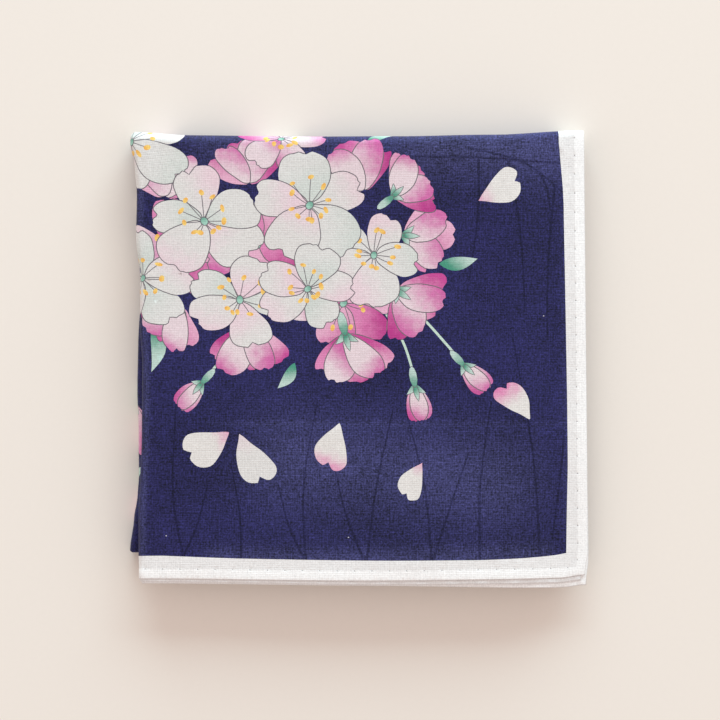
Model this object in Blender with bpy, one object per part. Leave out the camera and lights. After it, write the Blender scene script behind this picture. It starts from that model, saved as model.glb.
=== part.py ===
"""A printed cotton handkerchief, folded four times into a square pile of sixteen leaves.

The handkerchief is one piece of cloth and one solid. Its first fold lays two leaves together, so the
solid starts as a flat slab that stands for that pair. The slab is then folded three times, in the order
in which a hand folds it: the far half under, the left half under, and the upper half under. What comes
out is eight passes of the slab, a little apart, with every fold and every free edge where the real
pile has it. The last fold is slightly askew and the edges are uneven, as they are in the real pile.

Metres, +Z up, +X to the right and +Y away from the viewer, who looks down on the pile. The origin is
on the surface that the pile lies on, under the middle of its box.
"""

import math
from typing import NamedTuple

import bmesh
import bpy
import numpy as np

MM = 0.001

# Cloth
CLOTH_SIDE = 500 * MM
PAIR_THICKNESS = 1.05 * MM
LEAF_GAP = 0.30 * MM
HEM_WIDTH = 2.8 * MM
HEM_SWELL = 0.05 * MM
EDGE_ROUNDING = 0.35 * MM
CORNER_PULL = 0.9 * MM
CORNER_REACH = 5.0 * MM

# Leaf that lies on top: its two free edges and the lines where its two folds start to turn
RIGHT_EDGE = 62.3 * MM
BOTTOM_EDGE = -61.2 * MM
LEFT_LINE = -60.0 * MM
TOP_LINE = 60.2 * MM

# A fold takes up cloth as if all its leaves ran at this share of its outer radius, and its nose is
# flattened to this share of a half circle
TAKE_UP = 0.8
NOSE_FLATNESS = 0.6

# Mesh cells across one leaf, between its hem or fold and its next fold
LEAF_CELLS = 9

CLOTH_COLOUR = (0.029, 0.026, 0.085, 1.0)
CLOTH_ROUGHNESS = 0.92


class Fold(NamedTuple):
    """One of the folds that are made in the slab, with the twist it leaves in what it turns under."""

    name: str
    segments: int
    swing_deg: float


FOLDS = (
    Fold("far half under", 4, 0.0),
    Fold("left half under", 6, 0.0),
    Fold("upper half under", 8, 1.1),
)
BACK_FOLD, LEFT_FOLD, TOP_FOLD = range(3)


class SideEdge(NamedTuple):
    """How far a side edge of the slab stands out at the ends of its four leaves, followed along it."""

    near_corner: float
    top_fold: float
    back_fold: float
    top_fold_again: float
    far_corner: float


class EndEdge(NamedTuple):
    """How far a near or far edge of the slab stands out at the ends of its two leaves."""

    right_corner: float
    left_fold: float
    corner_beneath: float


EDGE_REACH = 45 * MM
RIGHT_HEMS = SideEdge(0.8 * MM, -0.9 * MM, 0.2 * MM, -0.6 * MM, 1.7 * MM)
FIRST_FOLD = SideEdge(0.4 * MM, -0.5 * MM, -0.4 * MM, -0.2 * MM, 1.1 * MM)
NEAR_HEMS = EndEdge(0.3 * MM, -0.5 * MM, 1.6 * MM)
FAR_HEMS = EndEdge(2.5 * MM, 1.1 * MM, 2.0 * MM)


class Bow(NamedTuple):
    """How far a fold of the pile stands out at a share of the way along it."""

    share: float
    out: float


OUTLINE_REACH = 30 * MM
LEFT_BOW = (Bow(0.0, 0.5 * MM), Bow(0.45, 0.0 * MM), Bow(0.85, 0.3 * MM), Bow(1.0, 1.7 * MM))
TOP_BOW = (Bow(0.0, 0.3 * MM), Bow(0.35, -0.3 * MM), Bow(0.7, -0.1 * MM), Bow(1.0, 0.8 * MM))


class Height(NamedTuple):
    """Height of the pile as a share of its leaves' own height, at a share of the way up the square."""

    up: float
    left: float
    middle: float
    right: float


HEIGHTS = (
    Height(0.00, 0.97, 0.99, 1.03),
    Height(0.30, 0.96, 0.94, 0.98),
    Height(0.70, 0.96, 0.93, 0.96),
    Height(1.00, 0.99, 0.97, 1.00),
)

# The hems along the bottom edge overhang the shorter leaves beneath them, and hang down a little there
DROOP_START = -57.5 * MM
DROOP_LENGTH = 6.5 * MM
DROOP = 1.0 * MM


def pile_height(folds_made):
    """Height of the stack after this many of the folds."""
    passes = 2 ** folds_made
    return passes * PAIR_THICKNESS + (passes - 1) * LEAF_GAP


def outer_radius(fold):
    """Outer radius of a fold, around the middle of the gap between the two stacks that it joins."""
    return pile_height(fold) + LEAF_GAP / 2


def take_up(fold):
    """Length of cloth that a fold's half turn takes."""
    return math.pi * TAKE_UP * outer_radius(fold)


BACK_LINE = BOTTOM_EDGE + (CLOTH_SIDE - take_up(BACK_FOLD)) / 2
LEFT_END = RIGHT_EDGE - CLOTH_SIDE / 2
FAR_END = BOTTOM_EDGE + CLOTH_SIDE


def smooth(share):
    """Ease a share from 0 to 1, level at both ends."""
    share = np.clip(share, 0.0, 1.0)
    return share * share * (3 - 2 * share)


def along(places, values, where):
    """Ease between the values that hold at the given places."""
    result = np.full(np.shape(where), values[0], dtype=float)
    for low, high, before, after in zip(places, places[1:], values, values[1:]):
        result += (after - before) * smooth((where - low) / (high - low))
    return result


def leaf_from_hem(edge, line):
    """Stations of one leaf from its free edge to its fold line, with the hem's own strip first."""
    inwards = math.copysign(HEM_WIDTH, line - edge)
    return [edge, edge + inwards, *np.linspace(edge + 1.5 * inwards, line, LEAF_CELLS)]


def half_turn(start, fold, towards):
    """Stations inside a fold's half turn, without its two ends."""
    segments = FOLDS[fold].segments
    return [start + towards * take_up(fold) * step / segments for step in range(1, segments)]


def column_stations():
    """Stations across the slab, from the right hems over the left fold to the first fold's edge."""
    leaf_beneath = np.linspace(LEFT_LINE - take_up(LEFT_FOLD), LEFT_END + HEM_WIDTH / 2, LEAF_CELLS)
    return np.array([*leaf_from_hem(RIGHT_EDGE, LEFT_LINE), *half_turn(LEFT_LINE, LEFT_FOLD, -1),
                     *leaf_beneath, LEFT_END])


def row_stations():
    """Stations along the slab, from the near hems over its three folds to the far hems."""
    leaf_behind = np.linspace(TOP_LINE + take_up(TOP_FOLD), BACK_LINE, LEAF_CELLS)
    near = [*leaf_from_hem(BOTTOM_EDGE, TOP_LINE), *half_turn(TOP_LINE, TOP_FOLD, 1), *leaf_behind]
    far = [BOTTOM_EDGE + FAR_END - y for y in reversed(near)]
    return np.array([*near, *half_turn(BACK_LINE, BACK_FOLD, 1), *far])


def uneven(points):
    """Move the flat slab's edges to where the pile shows them, and round its four corners."""
    x, y, z = points.T
    from_right, from_left = RIGHT_EDGE - x, x - LEFT_END
    from_near, from_far = y - BOTTOM_EDGE, FAR_END - y
    leaf_ends = (BOTTOM_EDGE, TOP_LINE, BACK_LINE, BOTTOM_EDGE + FAR_END - TOP_LINE, FAR_END)
    dx = along(leaf_ends, RIGHT_HEMS, y) * smooth(1 - from_right / EDGE_REACH)
    dx -= along(leaf_ends, FIRST_FOLD, y) * smooth(1 - from_left / EDGE_REACH)
    leaf_sides = (0.0, RIGHT_EDGE - LEFT_LINE, RIGHT_EDGE - LEFT_END)
    dy = along(leaf_sides, FAR_HEMS, from_right) * smooth(1 - from_far / EDGE_REACH)
    dy -= along(leaf_sides, NEAR_HEMS, from_right) * smooth(1 - from_near / EDGE_REACH)
    from_side, from_end = np.minimum(from_right, from_left), np.minimum(from_near, from_far)
    pull = CORNER_PULL * smooth(1 - from_side / CORNER_REACH) * smooth(1 - from_end / CORNER_REACH)
    dx -= pull * np.where(from_right < from_left, 1, -1)
    dy += pull * np.where(from_near < from_far, 1, -1)
    return np.column_stack((x + dx, y + dy, z))


def fold_under(points, fold, across, line, towards):
    """Fold what lies beyond a line down and back beneath the rest, which stays where it is.

    The cloth runs along axis 0 or 1 where it crosses the line, and turns on the side that towards
    gives. Leaves that earlier folds have stacked turn together, each at its own radius, and a fold
    with a swing leaves what it turned under slightly askew.
    """
    centre = PAIR_THICKNESS / 2 - outer_radius(fold)
    travel = towards * (points[:, across] - line)
    turned = np.clip(travel / take_up(fold), 0.0, 1.0)
    past_turn = np.maximum(travel - take_up(fold), 0.0)
    radius = points[:, 2] - centre
    nose = NOSE_FLATNESS * radius * np.sin(math.pi * turned) - past_turn
    folded = points.copy()
    folded[:, across] = np.where(travel > 0, line + towards * nose, points[:, across])
    folded[:, 2] = centre + radius * np.cos(math.pi * turned)
    return swung(folded, math.radians(FOLDS[fold].swing_deg) * smooth(turned))


def swung(points, angle):
    """Turn points clockwise, seen from above, about the corner where the left and top folds meet."""
    dx, dy = points[:, 0] - LEFT_LINE, points[:, 1] - TOP_LINE
    x = LEFT_LINE + dx * np.cos(angle) + dy * np.sin(angle)
    y = TOP_LINE + dy * np.cos(angle) - dx * np.sin(angle)
    return np.column_stack((x, y, points[:, 2]))


def settled(points):
    """Give the folded pile its uneven outline and height, and lay it flat on the surface."""
    x, y, z = points.T
    height = pile_height(len(FOLDS))
    z = z - PAIR_THICKNESS / 2 + height
    right = (x - LEFT_LINE) / (RIGHT_EDGE - LEFT_LINE)
    up = (y - BOTTOM_EDGE) / (TOP_LINE - BOTTOM_EDGE)
    out_left = along(*zip(*LEFT_BOW), up) * smooth(1 - (x - LEFT_LINE) / OUTLINE_REACH)
    out_top = along(*zip(*TOP_BOW), right) * smooth(1 - (TOP_LINE - y) / OUTLINE_REACH)
    ups, *columns = zip(*HEIGHTS)
    at_left, at_middle, at_right = (along(ups, shares, up) for shares in columns)
    share = at_left + (at_middle - at_left) * smooth(2 * right)
    share += (at_right - at_middle) * smooth(2 * right - 1)
    hang = np.where(z > height / 2, DROOP, 0.0) * smooth((DROOP_START - y) / DROOP_LENGTH)
    return np.column_stack((x - out_left, y + out_top, np.maximum(z * share - hang, 0.0)))


def folded_cloth(flat):
    """Place points of the flat slab where they lie in the folded pile."""
    points = uneven(flat)
    points = fold_under(points, BACK_FOLD, across=1, line=BACK_LINE, towards=1)
    points = fold_under(points, LEFT_FOLD, across=0, line=LEFT_LINE, towards=-1)
    points = fold_under(points, TOP_FOLD, across=1, line=TOP_LINE, towards=1)
    return settled(points)


def slab_face(columns, rows, side):
    """Points of the slab's upper or lower face, thicker at its hems and short of its rounded rim."""
    columns, rows = columns.copy(), rows.copy()
    columns[[0, -1]] += (-EDGE_ROUNDING, EDGE_ROUNDING)
    rows[[0, -1]] += (EDGE_ROUNDING, -EDGE_ROUNDING)
    x, y = np.meshgrid(columns, rows)
    swell = np.zeros(x.shape)
    swell[:2, :] = swell[-2:, :] = HEM_SWELL
    swell[:, :2] = HEM_SWELL
    return np.stack((x, y, side * (PAIR_THICKNESS / 2 + swell)), axis=-1)


def rim_places(row_count, column_count):
    """Grid places round the slab's rim."""
    near = [(0, column) for column in range(column_count)]
    left = [(row, column_count - 1) for row in range(1, row_count)]
    far = [(row_count - 1, column) for column in range(column_count - 2, -1, -1)]
    right = [(row, 0) for row in range(row_count - 2, 0, -1)]
    return near + left + far + right


def build_cloth():
    """Build the slab's two faces and its rounded rim, folded, as one closed mesh."""
    columns, rows = column_stations(), row_stations()
    shape = (len(rows), len(columns))
    places = rim_places(*shape)
    rim_points = [(columns[column], rows[row], 0.0) for row, column in places]
    face_points = [slab_face(columns, rows, side).reshape(-1, 3) for side in (1, -1)]
    folded = folded_cloth(np.concatenate([*face_points, rim_points]))
    middle = (folded.min(axis=0) + folded.max(axis=0)) / 2
    folded -= (middle[0], middle[1], 0.0)

    mesh = bmesh.new()
    points = np.array([mesh.verts.new(point) for point in folded], dtype=object)
    cells = len(rows) * len(columns)
    grids = (points[:cells].reshape(shape), points[cells:2 * cells].reshape(shape))
    rim = list(points[2 * cells:])
    for grid in grids:
        for row in range(shape[0] - 1):
            for column in range(shape[1] - 1):
                mesh.faces.new((grid[row, column], grid[row, column + 1],
                                grid[row + 1, column + 1], grid[row + 1, column]))
        for step, place in enumerate(places):
            mesh.faces.new((grid[places[step - 1]], grid[place], rim[step], rim[step - 1]))
    bmesh.ops.recalc_face_normals(mesh, faces=mesh.faces)
    return mesh


def cloth_material():
    """Make the dark blue of the printed cotton."""
    material = bpy.data.materials.new("printed cotton")
    material.use_nodes = True
    shader = material.node_tree.nodes["Principled BSDF"]
    shader.inputs["Base Color"].default_value = CLOTH_COLOUR
    shader.inputs["Roughness"].default_value = CLOTH_ROUGHNESS
    shader.inputs["Metallic"].default_value = 0.0
    return material


def main():
    """Clear the scene and build the folded handkerchief."""
    for old in list(bpy.data.objects):
        bpy.data.objects.remove(old, do_unlink=True)
    mesh = bpy.data.meshes.new("handkerchief")
    cloth = build_cloth()
    cloth.to_mesh(mesh)
    cloth.free()
    mesh.shade_smooth()
    mesh.materials.append(cloth_material())
    handkerchief = bpy.data.objects.new("handkerchief", mesh)
    bpy.context.scene.collection.objects.link(handkerchief)


main()
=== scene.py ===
"""Looks of a cotton handkerchief with a blossom print, folded four times into a square pile.

The cloth is one sheet, 500 mm square, with its own two skins and its turned hem. It is laid out flat,
its print is drawn on it as outlines, and it is then folded four times into sixteen leaves. The last three
folds are those of the solid that it replaces, whose eight passes each stand for two leaves. Hem stitches
sit on it.

Inside the cloth and its print, lengths are millimetres, and flat places are given on the cloth laid out
with its front leaf where the pile shows it: x to the right and y up, from the middle of the pile.
"""

import logging
import math
from dataclasses import dataclass, field
from enum import Enum
from typing import NamedTuple, Sequence

import bpy
import numpy as np
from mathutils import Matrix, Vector
from mathutils.geometry import delaunay_2d_cdt


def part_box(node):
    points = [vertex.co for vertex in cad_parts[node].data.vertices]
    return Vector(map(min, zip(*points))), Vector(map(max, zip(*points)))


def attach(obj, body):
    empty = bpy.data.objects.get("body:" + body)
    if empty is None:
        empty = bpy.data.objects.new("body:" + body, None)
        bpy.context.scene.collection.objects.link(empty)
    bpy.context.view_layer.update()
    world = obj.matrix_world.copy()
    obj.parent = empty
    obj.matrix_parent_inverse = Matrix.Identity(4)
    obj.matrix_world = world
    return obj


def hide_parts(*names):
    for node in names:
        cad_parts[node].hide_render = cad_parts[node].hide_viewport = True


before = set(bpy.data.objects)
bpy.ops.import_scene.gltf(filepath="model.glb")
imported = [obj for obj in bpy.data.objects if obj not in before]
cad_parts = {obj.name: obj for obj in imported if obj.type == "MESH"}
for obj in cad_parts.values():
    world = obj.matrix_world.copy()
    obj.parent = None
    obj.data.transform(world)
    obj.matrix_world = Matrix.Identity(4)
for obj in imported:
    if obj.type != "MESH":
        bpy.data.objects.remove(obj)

LOG = logging.getLogger("handkerchief")
MM = 0.001
BODY = "root"
NODE = "handkerchief"

Points = np.ndarray


def eased(share: Points) -> Points:
    """Ease shares from 0 to 1, level at both ends.

    Args:
        share: Any numbers; those outside 0 to 1 count as 0 or 1.

    Returns:
        The eased shares.
    """
    share = np.clip(share, 0.0, 1.0)
    return share * share * (3 - 2 * share)


def between(places: Sequence[float], values: Sequence[float], where: Points) -> Points:
    """Ease between the values that hold at the given places.

    Args:
        places: Rising places.
        values: One value for each place.
        where: Places to read the values at.

    Returns:
        One value for each of where.
    """
    result = np.full(np.shape(where), values[0], dtype=float)
    for low, high, before, after in zip(places, places[1:], values, values[1:]):
        result += (after - before) * eased((where - low) / (high - low))
    return result


def heading(degrees: float) -> Points:
    """Return the unit vector that points this many degrees round from +x."""
    return np.array((math.cos(math.radians(degrees)), math.sin(math.radians(degrees))))


def through(knots: Sequence[tuple[float, float]], steps: int) -> Points:
    """Draw a smooth line through given points.

    Args:
        knots: The points that the line passes.
        steps: Stretches of line between two knots.

    Returns:
        The points of the line, one row each.
    """
    rows = np.array([knots[0], *knots, knots[-1]], dtype=float)
    line = []
    for before, start, end, after in zip(rows, rows[1:], rows[2:], rows[3:]):
        for t in np.linspace(0, 1, steps, endpoint=False):
            line.append(0.5 * (2 * start + (end - before) * t
                               + (2 * before - 5 * start + 4 * end - after) * t * t
                               + (3 * start - before - 3 * end + after) * t ** 3))
    return np.array([*line, rows[-1]])


def inward(outline: Points, distance: float) -> Points:
    """Move a closed outline inwards.

    Args:
        outline: Points of the outline, anticlockwise.
        distance: How far each point moves.

    Returns:
        The moved outline.
    """
    side = np.roll(outline, -1, axis=0) - np.roll(outline, 1, axis=0)
    side /= np.maximum(np.linalg.norm(side, axis=1, keepdims=True), 1e-9)
    return outline + distance * np.column_stack((-side[:, 1], side[:, 0]))


def distance_from_line(points: Points, start: Points, end: Points) -> Points:
    """Return how far points lie from a straight line between two ends.

    Args:
        points: Flat places, one row each.
        start: One end of the line.
        end: Its other end.

    Returns:
        One distance for each point.
    """
    way = end - start
    share = np.clip((points - start) @ way / (way @ way), 0, 1)
    return np.linalg.norm(points - start - np.outer(share, way), axis=1)


def added(name: str, data: bpy.types.ID) -> bpy.types.Object:
    """Add an object to the scene.

    Args:
        name: Its name.
        data: Its mesh, light or camera.

    Returns:
        The object.
    """
    thing = bpy.data.objects.new(name, data)
    bpy.context.scene.collection.objects.link(thing)
    return thing


class SideEdge(NamedTuple):
    """How far a side edge stands out at the ends of its four leaves, followed along it."""

    near_corner: float
    top_fold: float
    back_fold: float
    top_fold_again: float
    far_corner: float


class EndEdge(NamedTuple):
    """How far a near or far edge of a pair of leaves stands out, followed from its right corner."""

    right_corner: float
    middle: float
    left_fold: float
    corner_beneath: float


class Bow(NamedTuple):
    """How far a fold of the pile stands out at a share of the way along it."""

    share: float
    out: float


class Height(NamedTuple):
    """Height of the pile as a share of its leaves' own height, at a share of the way up the square."""

    up: float
    left: float
    middle: float
    right: float


class Crease(NamedTuple):
    """A soft trough or ridge across the front leaf, from one place to another."""

    from_x: float
    from_y: float
    to_x: float
    to_y: float
    width: float
    rise: float


@dataclass(frozen=True)
class Pile:
    """The way the cloth lies: where it is folded, and how unevenly. Millimetres."""

    side: float = 500.0
    thickness: float = 0.42
    pair_gap: float = 0.21
    leaf_gap: float = 0.30
    right_edge: float = 62.3
    bottom_edge: float = -61.2
    left_line: float = -60.0
    top_line: float = 60.2
    take_up_share: float = 0.8
    nose_flatness: float = 0.6
    swing_deg: float = 1.1
    edge_reach: float = 45.0
    right_hems: SideEdge = SideEdge(1.65, 1.1, 0.4, 0.5, 1.8)
    first_fold: SideEdge = SideEdge(0.4, -0.5, -0.4, -0.2, 1.1)
    near_hems: EndEdge = EndEdge(0.15, 0.75, 0.2, 1.6)
    far_hems: EndEdge = EndEdge(2.1, 1.45, 1.0, 2.0)
    left_own: SideEdge = SideEdge(-0.5, 0.5, 0.3, -0.4, 0.9)
    near_own: SideEdge = SideEdge(0.0, 0.0, 0.0, 0.8, 1.3)
    far_own: SideEdge = SideEdge(-0.7, -0.3, 0.0, 0.5, 0.8)
    corner_pull: float = 0.8
    corner_reach: float = 8.0
    outline_reach: float = 30.0
    left_bow: tuple[Bow, ...] = (
        Bow(0.0, 0.1), Bow(0.06, 0.3), Bow(0.16, 0.35), Bow(0.23, -0.1), Bow(0.32, -0.5), Bow(0.49, -0.55),
        Bow(0.58, 0.1), Bow(0.70, 0.1), Bow(0.78, 1.3), Bow(0.88, 1.1), Bow(0.94, 1.7), Bow(1.0, 3.0))
    left_bow_beneath: tuple[Bow, ...] = (
        Bow(0.0, 1.3), Bow(0.06, 1.1), Bow(0.14, 0.1), Bow(0.18, -0.65), Bow(0.23, -0.95), Bow(0.32, -0.65),
        Bow(0.45, 0.1), Bow(0.55, 0.1), Bow(0.68, -0.5), Bow(0.8, 0.2), Bow(0.94, 1.7), Bow(1.0, 3.0))
    top_bow: tuple[Bow, ...] = (
        Bow(0.0, 0.9), Bow(0.11, 0.1), Bow(0.35, -0.05), Bow(0.57, 0.2), Bow(0.8, 0.8), Bow(1.0, 2.4))
    heights: tuple[Height, ...] = (
        Height(0.00, 0.92, 0.99, 0.94),
        Height(0.30, 0.96, 0.94, 1.00),
        Height(0.70, 0.96, 0.93, 1.03),
        Height(1.00, 0.99, 0.97, 0.96),
    )
    near_start: float = -57.6
    near_length: float = 3.4
    squeeze: float = 0.8
    squeeze_depth: float = 6.0
    right_sink: float = 0.32
    sink_reach: float = 22.0
    ripple: float = 0.07
    ripple_pitch: float = 1.9
    ripple_drift: tuple[float, float, float] = (5.0, 2.0, 6.0)

    @property
    def pair(self) -> float:
        """Thickness of the two leaves that the first fold lays together."""
        return 2 * self.thickness + self.pair_gap

    @property
    def rim_left(self) -> float:
        """Flat place of the sheet's left hem."""
        return self.right_edge - self.side

    @property
    def left_end(self) -> float:
        """Flat place of the first fold's edge."""
        return self.right_edge - self.side / 2

    @property
    def far_end(self) -> float:
        """Flat place of the far hem."""
        return self.bottom_edge + self.side

    @property
    def first_line(self) -> float:
        """Flat place where the first fold starts to turn."""
        return self.left_end + self.nose_flatness * self.pair / 2

    @property
    def back_line(self) -> float:
        """Flat place where the second fold starts to turn."""
        return self.bottom_edge + (self.side - self.take_up(self.pair_radius(0))) / 2

    def frame(self, inset: float) -> Points:
        """Draw the flat cloth's corners, anticlockwise, moved in from its rim.

        Args:
            inset: How far each corner is moved.

        Returns:
            The corners, one row each, the near left one first.
        """
        left, right = self.rim_left + inset, self.right_edge - inset
        near, far = self.bottom_edge + inset, self.far_end - inset
        return np.array(((left, near), (right, near), (right, far), (left, far)))

    def pair_height(self, folds: int) -> float:
        """Return the height of the stack of pairs after this many folds."""
        return 2 ** folds * self.pair + (2 ** folds - 1) * self.leaf_gap

    def pair_radius(self, folds: int) -> float:
        """Return the outer radius of the next fold after this many folds of the pair."""
        return self.pair_height(folds) + self.leaf_gap / 2

    def take_up(self, radius: float) -> float:
        """Return the length of cloth that a half turn of this outer radius takes."""
        return math.pi * self.take_up_share * radius

    def fold_under(self, points: Points, radius: float, across: int, line: float,
                   towards: int, swing_deg: float = 0.0) -> Points:
        """Fold what lies beyond a line down and back beneath the rest.

        Args:
            points: Places of the cloth, one row each.
            radius: Outer radius of the fold.
            across: Axis that the cloth runs along where it meets the line, 0 or 1.
            line: Place of the line on that axis.
            towards: Side of the line that turns, 1 or -1.
            swing_deg: How far askew the half that turned under is left.

        Returns:
            The folded places.
        """
        taken = self.take_up(radius)
        centre = self.pair / 2 - radius
        travel = towards * (points[:, across] - line)
        turned = np.clip(travel / taken, 0.0, 1.0)
        reach = points[:, 2] - centre
        nose = self.nose_flatness * reach * np.sin(math.pi * turned) - np.maximum(travel - taken, 0.0)
        folded = points.copy()
        folded[:, across] = np.where(travel > 0, line + towards * nose, points[:, across])
        folded[:, 2] = centre + reach * np.cos(math.pi * turned)
        angle = math.radians(swing_deg) * eased(turned)
        dx, dy = folded[:, 0] - self.left_line, folded[:, 1] - self.top_line
        folded[:, 0] = self.left_line + dx * np.cos(angle) + dy * np.sin(angle)
        folded[:, 1] = self.top_line + dy * np.cos(angle) - dx * np.sin(angle)
        return folded

    def reached(self, away: Points) -> Points:
        """Return how much of an edge's own place is left at distances from it."""
        return eased(1 - away / self.edge_reach)

    def own_edges(self, points: Points) -> Points:
        """Let the hems of the leaves that the first fold turns under lie a little off those above.

        Args:
            points: Places of the flat cloth, one row each.

        Returns:
            The moved places.
        """
        x, y, z = points.T
        near, far = y - self.bottom_edge, self.far_end - y
        beyond_left = x - self.rim_left
        quarters = [self.side * share for share in (0.0, 0.25, 0.5, 0.75, 1.0)]
        dx = -between(quarters, self.left_own, near) * self.reached(beyond_left)
        from_right = self.right_edge - x
        dy = between(quarters, self.far_own, from_right) * self.reached(far)
        dy -= between(quarters, self.near_own, from_right) * self.reached(near)
        return np.column_stack((x + dx, y + dy, z))

    def pair_edges(self, points: Points) -> Points:
        """Move the edges of the pair of leaves to where the pile shows them.

        Args:
            points: Places of the cloth after its first fold, one row each.

        Returns:
            The moved places.
        """
        x, y, z = points.T
        from_right, from_left = self.right_edge - x, x - self.left_end
        near, far = y - self.bottom_edge, self.far_end - y
        again = self.bottom_edge + self.far_end - self.top_line
        ends = (self.bottom_edge, self.top_line, self.back_line, again, self.far_end)
        dx = between(ends, self.right_hems, y) * self.reached(from_right)
        dx -= between(ends, self.first_fold, y) * self.reached(from_left)
        square = self.right_edge - self.left_line
        sides = (0.0, square / 2, square, self.right_edge - self.left_end)
        dy = between(sides, self.far_hems, from_right) * self.reached(far)
        dy -= between(sides, self.near_hems, from_right) * self.reached(near)
        side, end = np.minimum(from_right, from_left), np.minimum(near, far)
        pull = self.corner_pull * eased(1 - side / self.corner_reach)
        pull = pull * eased(1 - end / self.corner_reach)
        dx -= pull * np.where(from_right < from_left, 1, -1)
        dy += pull * np.where(near < far, 1, -1)
        return np.column_stack((x + dx, y + dy, z))

    def settled(self, points: Points) -> Points:
        """Give the pile its uneven outline and height, and lay it flat on the surface.

        Args:
            points: Places of the cloth after its last fold, one row each.

        Returns:
            The places in the settled pile.
        """
        x, y, z = points.T
        height = self.pair_height(3)
        z = layer = z - self.pair / 2 + height
        right = (x - self.left_line) / (self.right_edge - self.left_line)
        up = (y - self.bottom_edge) / (self.top_line - self.bottom_edge)
        across, sway, along = self.ripple_drift
        phase = across * right + sway * np.sin(along * up)
        ripple = np.sin(2 * math.pi * z / self.ripple_pitch + phase) - np.sin(phase)
        z = z + self.ripple * ripple * eased(z) * eased(height - z)
        beneath = eased((height / 2 - layer) / self.leaf_gap + 0.5)
        out_front, out_beneath = (between(*zip(*bow), up) for bow in (self.left_bow, self.left_bow_beneath))
        out_left = out_front + (out_beneath - out_front) * beneath
        out_left *= eased(1 - (x - self.left_line) / self.outline_reach)
        out_top = between(*zip(*self.top_bow), right) * eased(1 - (self.top_line - y) / self.outline_reach)
        ups, *columns = zip(*self.heights)
        at_left, at_middle, at_right = (between(ups, shares, up) for shares in columns)
        share = at_left + (at_middle - at_left) * eased(2 * right)
        share += (at_right - at_middle) * eased(2 * right - 1)
        share *= 1 - self.right_sink * eased(1 - (self.right_edge - x) / self.sink_reach)
        edge = eased((self.near_start - y) / self.near_length)
        down = height - z
        z = z + edge * self.squeeze * down * np.clip(1 - down / self.squeeze_depth, 0, 1) ** 2
        return np.column_stack((x - out_left, y + out_top, np.maximum(z * share, 0.0)))

    def place(self, flat: Points) -> Points:
        """Place points of the flat cloth in the folded pile.

        Args:
            flat: One row of x, y and height above the middle of the first pair for each point.

        Returns:
            The points in the pile, in millimetres.
        """
        points = self.own_edges(flat)
        points = self.fold_under(points, self.thickness + self.pair_gap / 2, 0, self.first_line, -1)
        points = self.pair_edges(points)
        points = self.fold_under(points, self.pair_radius(0), 1, self.back_line, 1)
        points = self.fold_under(points, self.pair_radius(1), 0, self.left_line, -1)
        points = self.fold_under(points, self.pair_radius(2), 1, self.top_line, 1, self.swing_deg)
        return self.settled(points)


class Ink(Enum):
    """Printed colours in sRGB: the plain colour, and the colour that it is flushed with."""

    HEM = ((248, 247, 247), (248, 247, 247))
    BORDER = ((234, 232, 232), (234, 232, 232))
    # The flush colours of the navy ground and its branches are painted sheen, lighter where the cloth
    # catches the light.
    GROUND = ((36, 35, 81), (75, 77, 120))
    SHADE_LINE = ((24, 23, 61), (55, 56, 95))
    OUTLINE = ((112, 106, 112), (112, 106, 112))
    WHITE = ((221, 218, 216), (230, 205, 214))
    MIST = ((221, 219, 217), (207, 213, 208))
    BLUSH = ((228, 210, 216), (206, 104, 166))
    PINK = ((227, 174, 200), (197, 76, 149))
    ROSE = ((220, 136, 182), (184, 60, 136))
    LEAF = ((190, 212, 204), (72, 148, 124))
    STALK = ((196, 218, 204), (150, 196, 176))
    ANTHER = ((245, 206, 116), (236, 174, 86))
    PISTIL = ((164, 208, 192), (112, 166, 148))
    SPECK = ((186, 184, 196), (186, 184, 196))
    DRIFT = ((226, 222, 219), (222, 132, 180))
    # Painted shade of the needle holes beside the stitches.
    PRICK_SHADE = ((176, 172, 174), (150, 146, 148))
    WRONG_SIDE = ((96, 92, 136), (110, 106, 150))

    @property
    def dyed(self) -> bool:
        """Whether this is one of the dark dyes of the ground."""
        return self in (Ink.GROUND, Ink.SHADE_LINE, Ink.WRONG_SIDE)

    def linear(self, flushed: bool) -> tuple[float, float, float, float]:
        """Return the colour in linear light, with 1 as its last number on the dyed ground."""
        return (*linear_colour(self.value[1 if flushed else 0]), 1.0 if self.dyed else 0.0)


def linear_colour(colour: Sequence[float]) -> tuple[float, float, float]:
    """Turn an sRGB colour, 0 to 255, into linear light, 0 to 1."""
    shares = [channel / 255 for channel in colour]
    return tuple(s / 12.92 if s <= 0.04045 else ((s + 0.055) / 1.055) ** 2.4 for s in shares)


class Fade(Enum):
    """How the flush colour comes in over a printed shape."""

    NONE = "none"
    ALONG = "along"
    # Painted sheen: the navy ground and its branches lighter along lines where the cloth catches the light.
    WORN = "worn"


class Over(Enum):
    """What a printed shape shows on: anything, only the dyed ground, or only other motifs."""

    ANYTHING = "anything"
    GROUND = "ground"
    MOTIFS = "motifs"


class PaintedSheen(NamedTuple):
    """A straight line of painted sheen across the ground, where the cloth catches the light: its ends, its
    reach to each side and its strength.
    """

    start: tuple[float, float]
    end: tuple[float, float]
    reach: float
    strength: float


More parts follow.
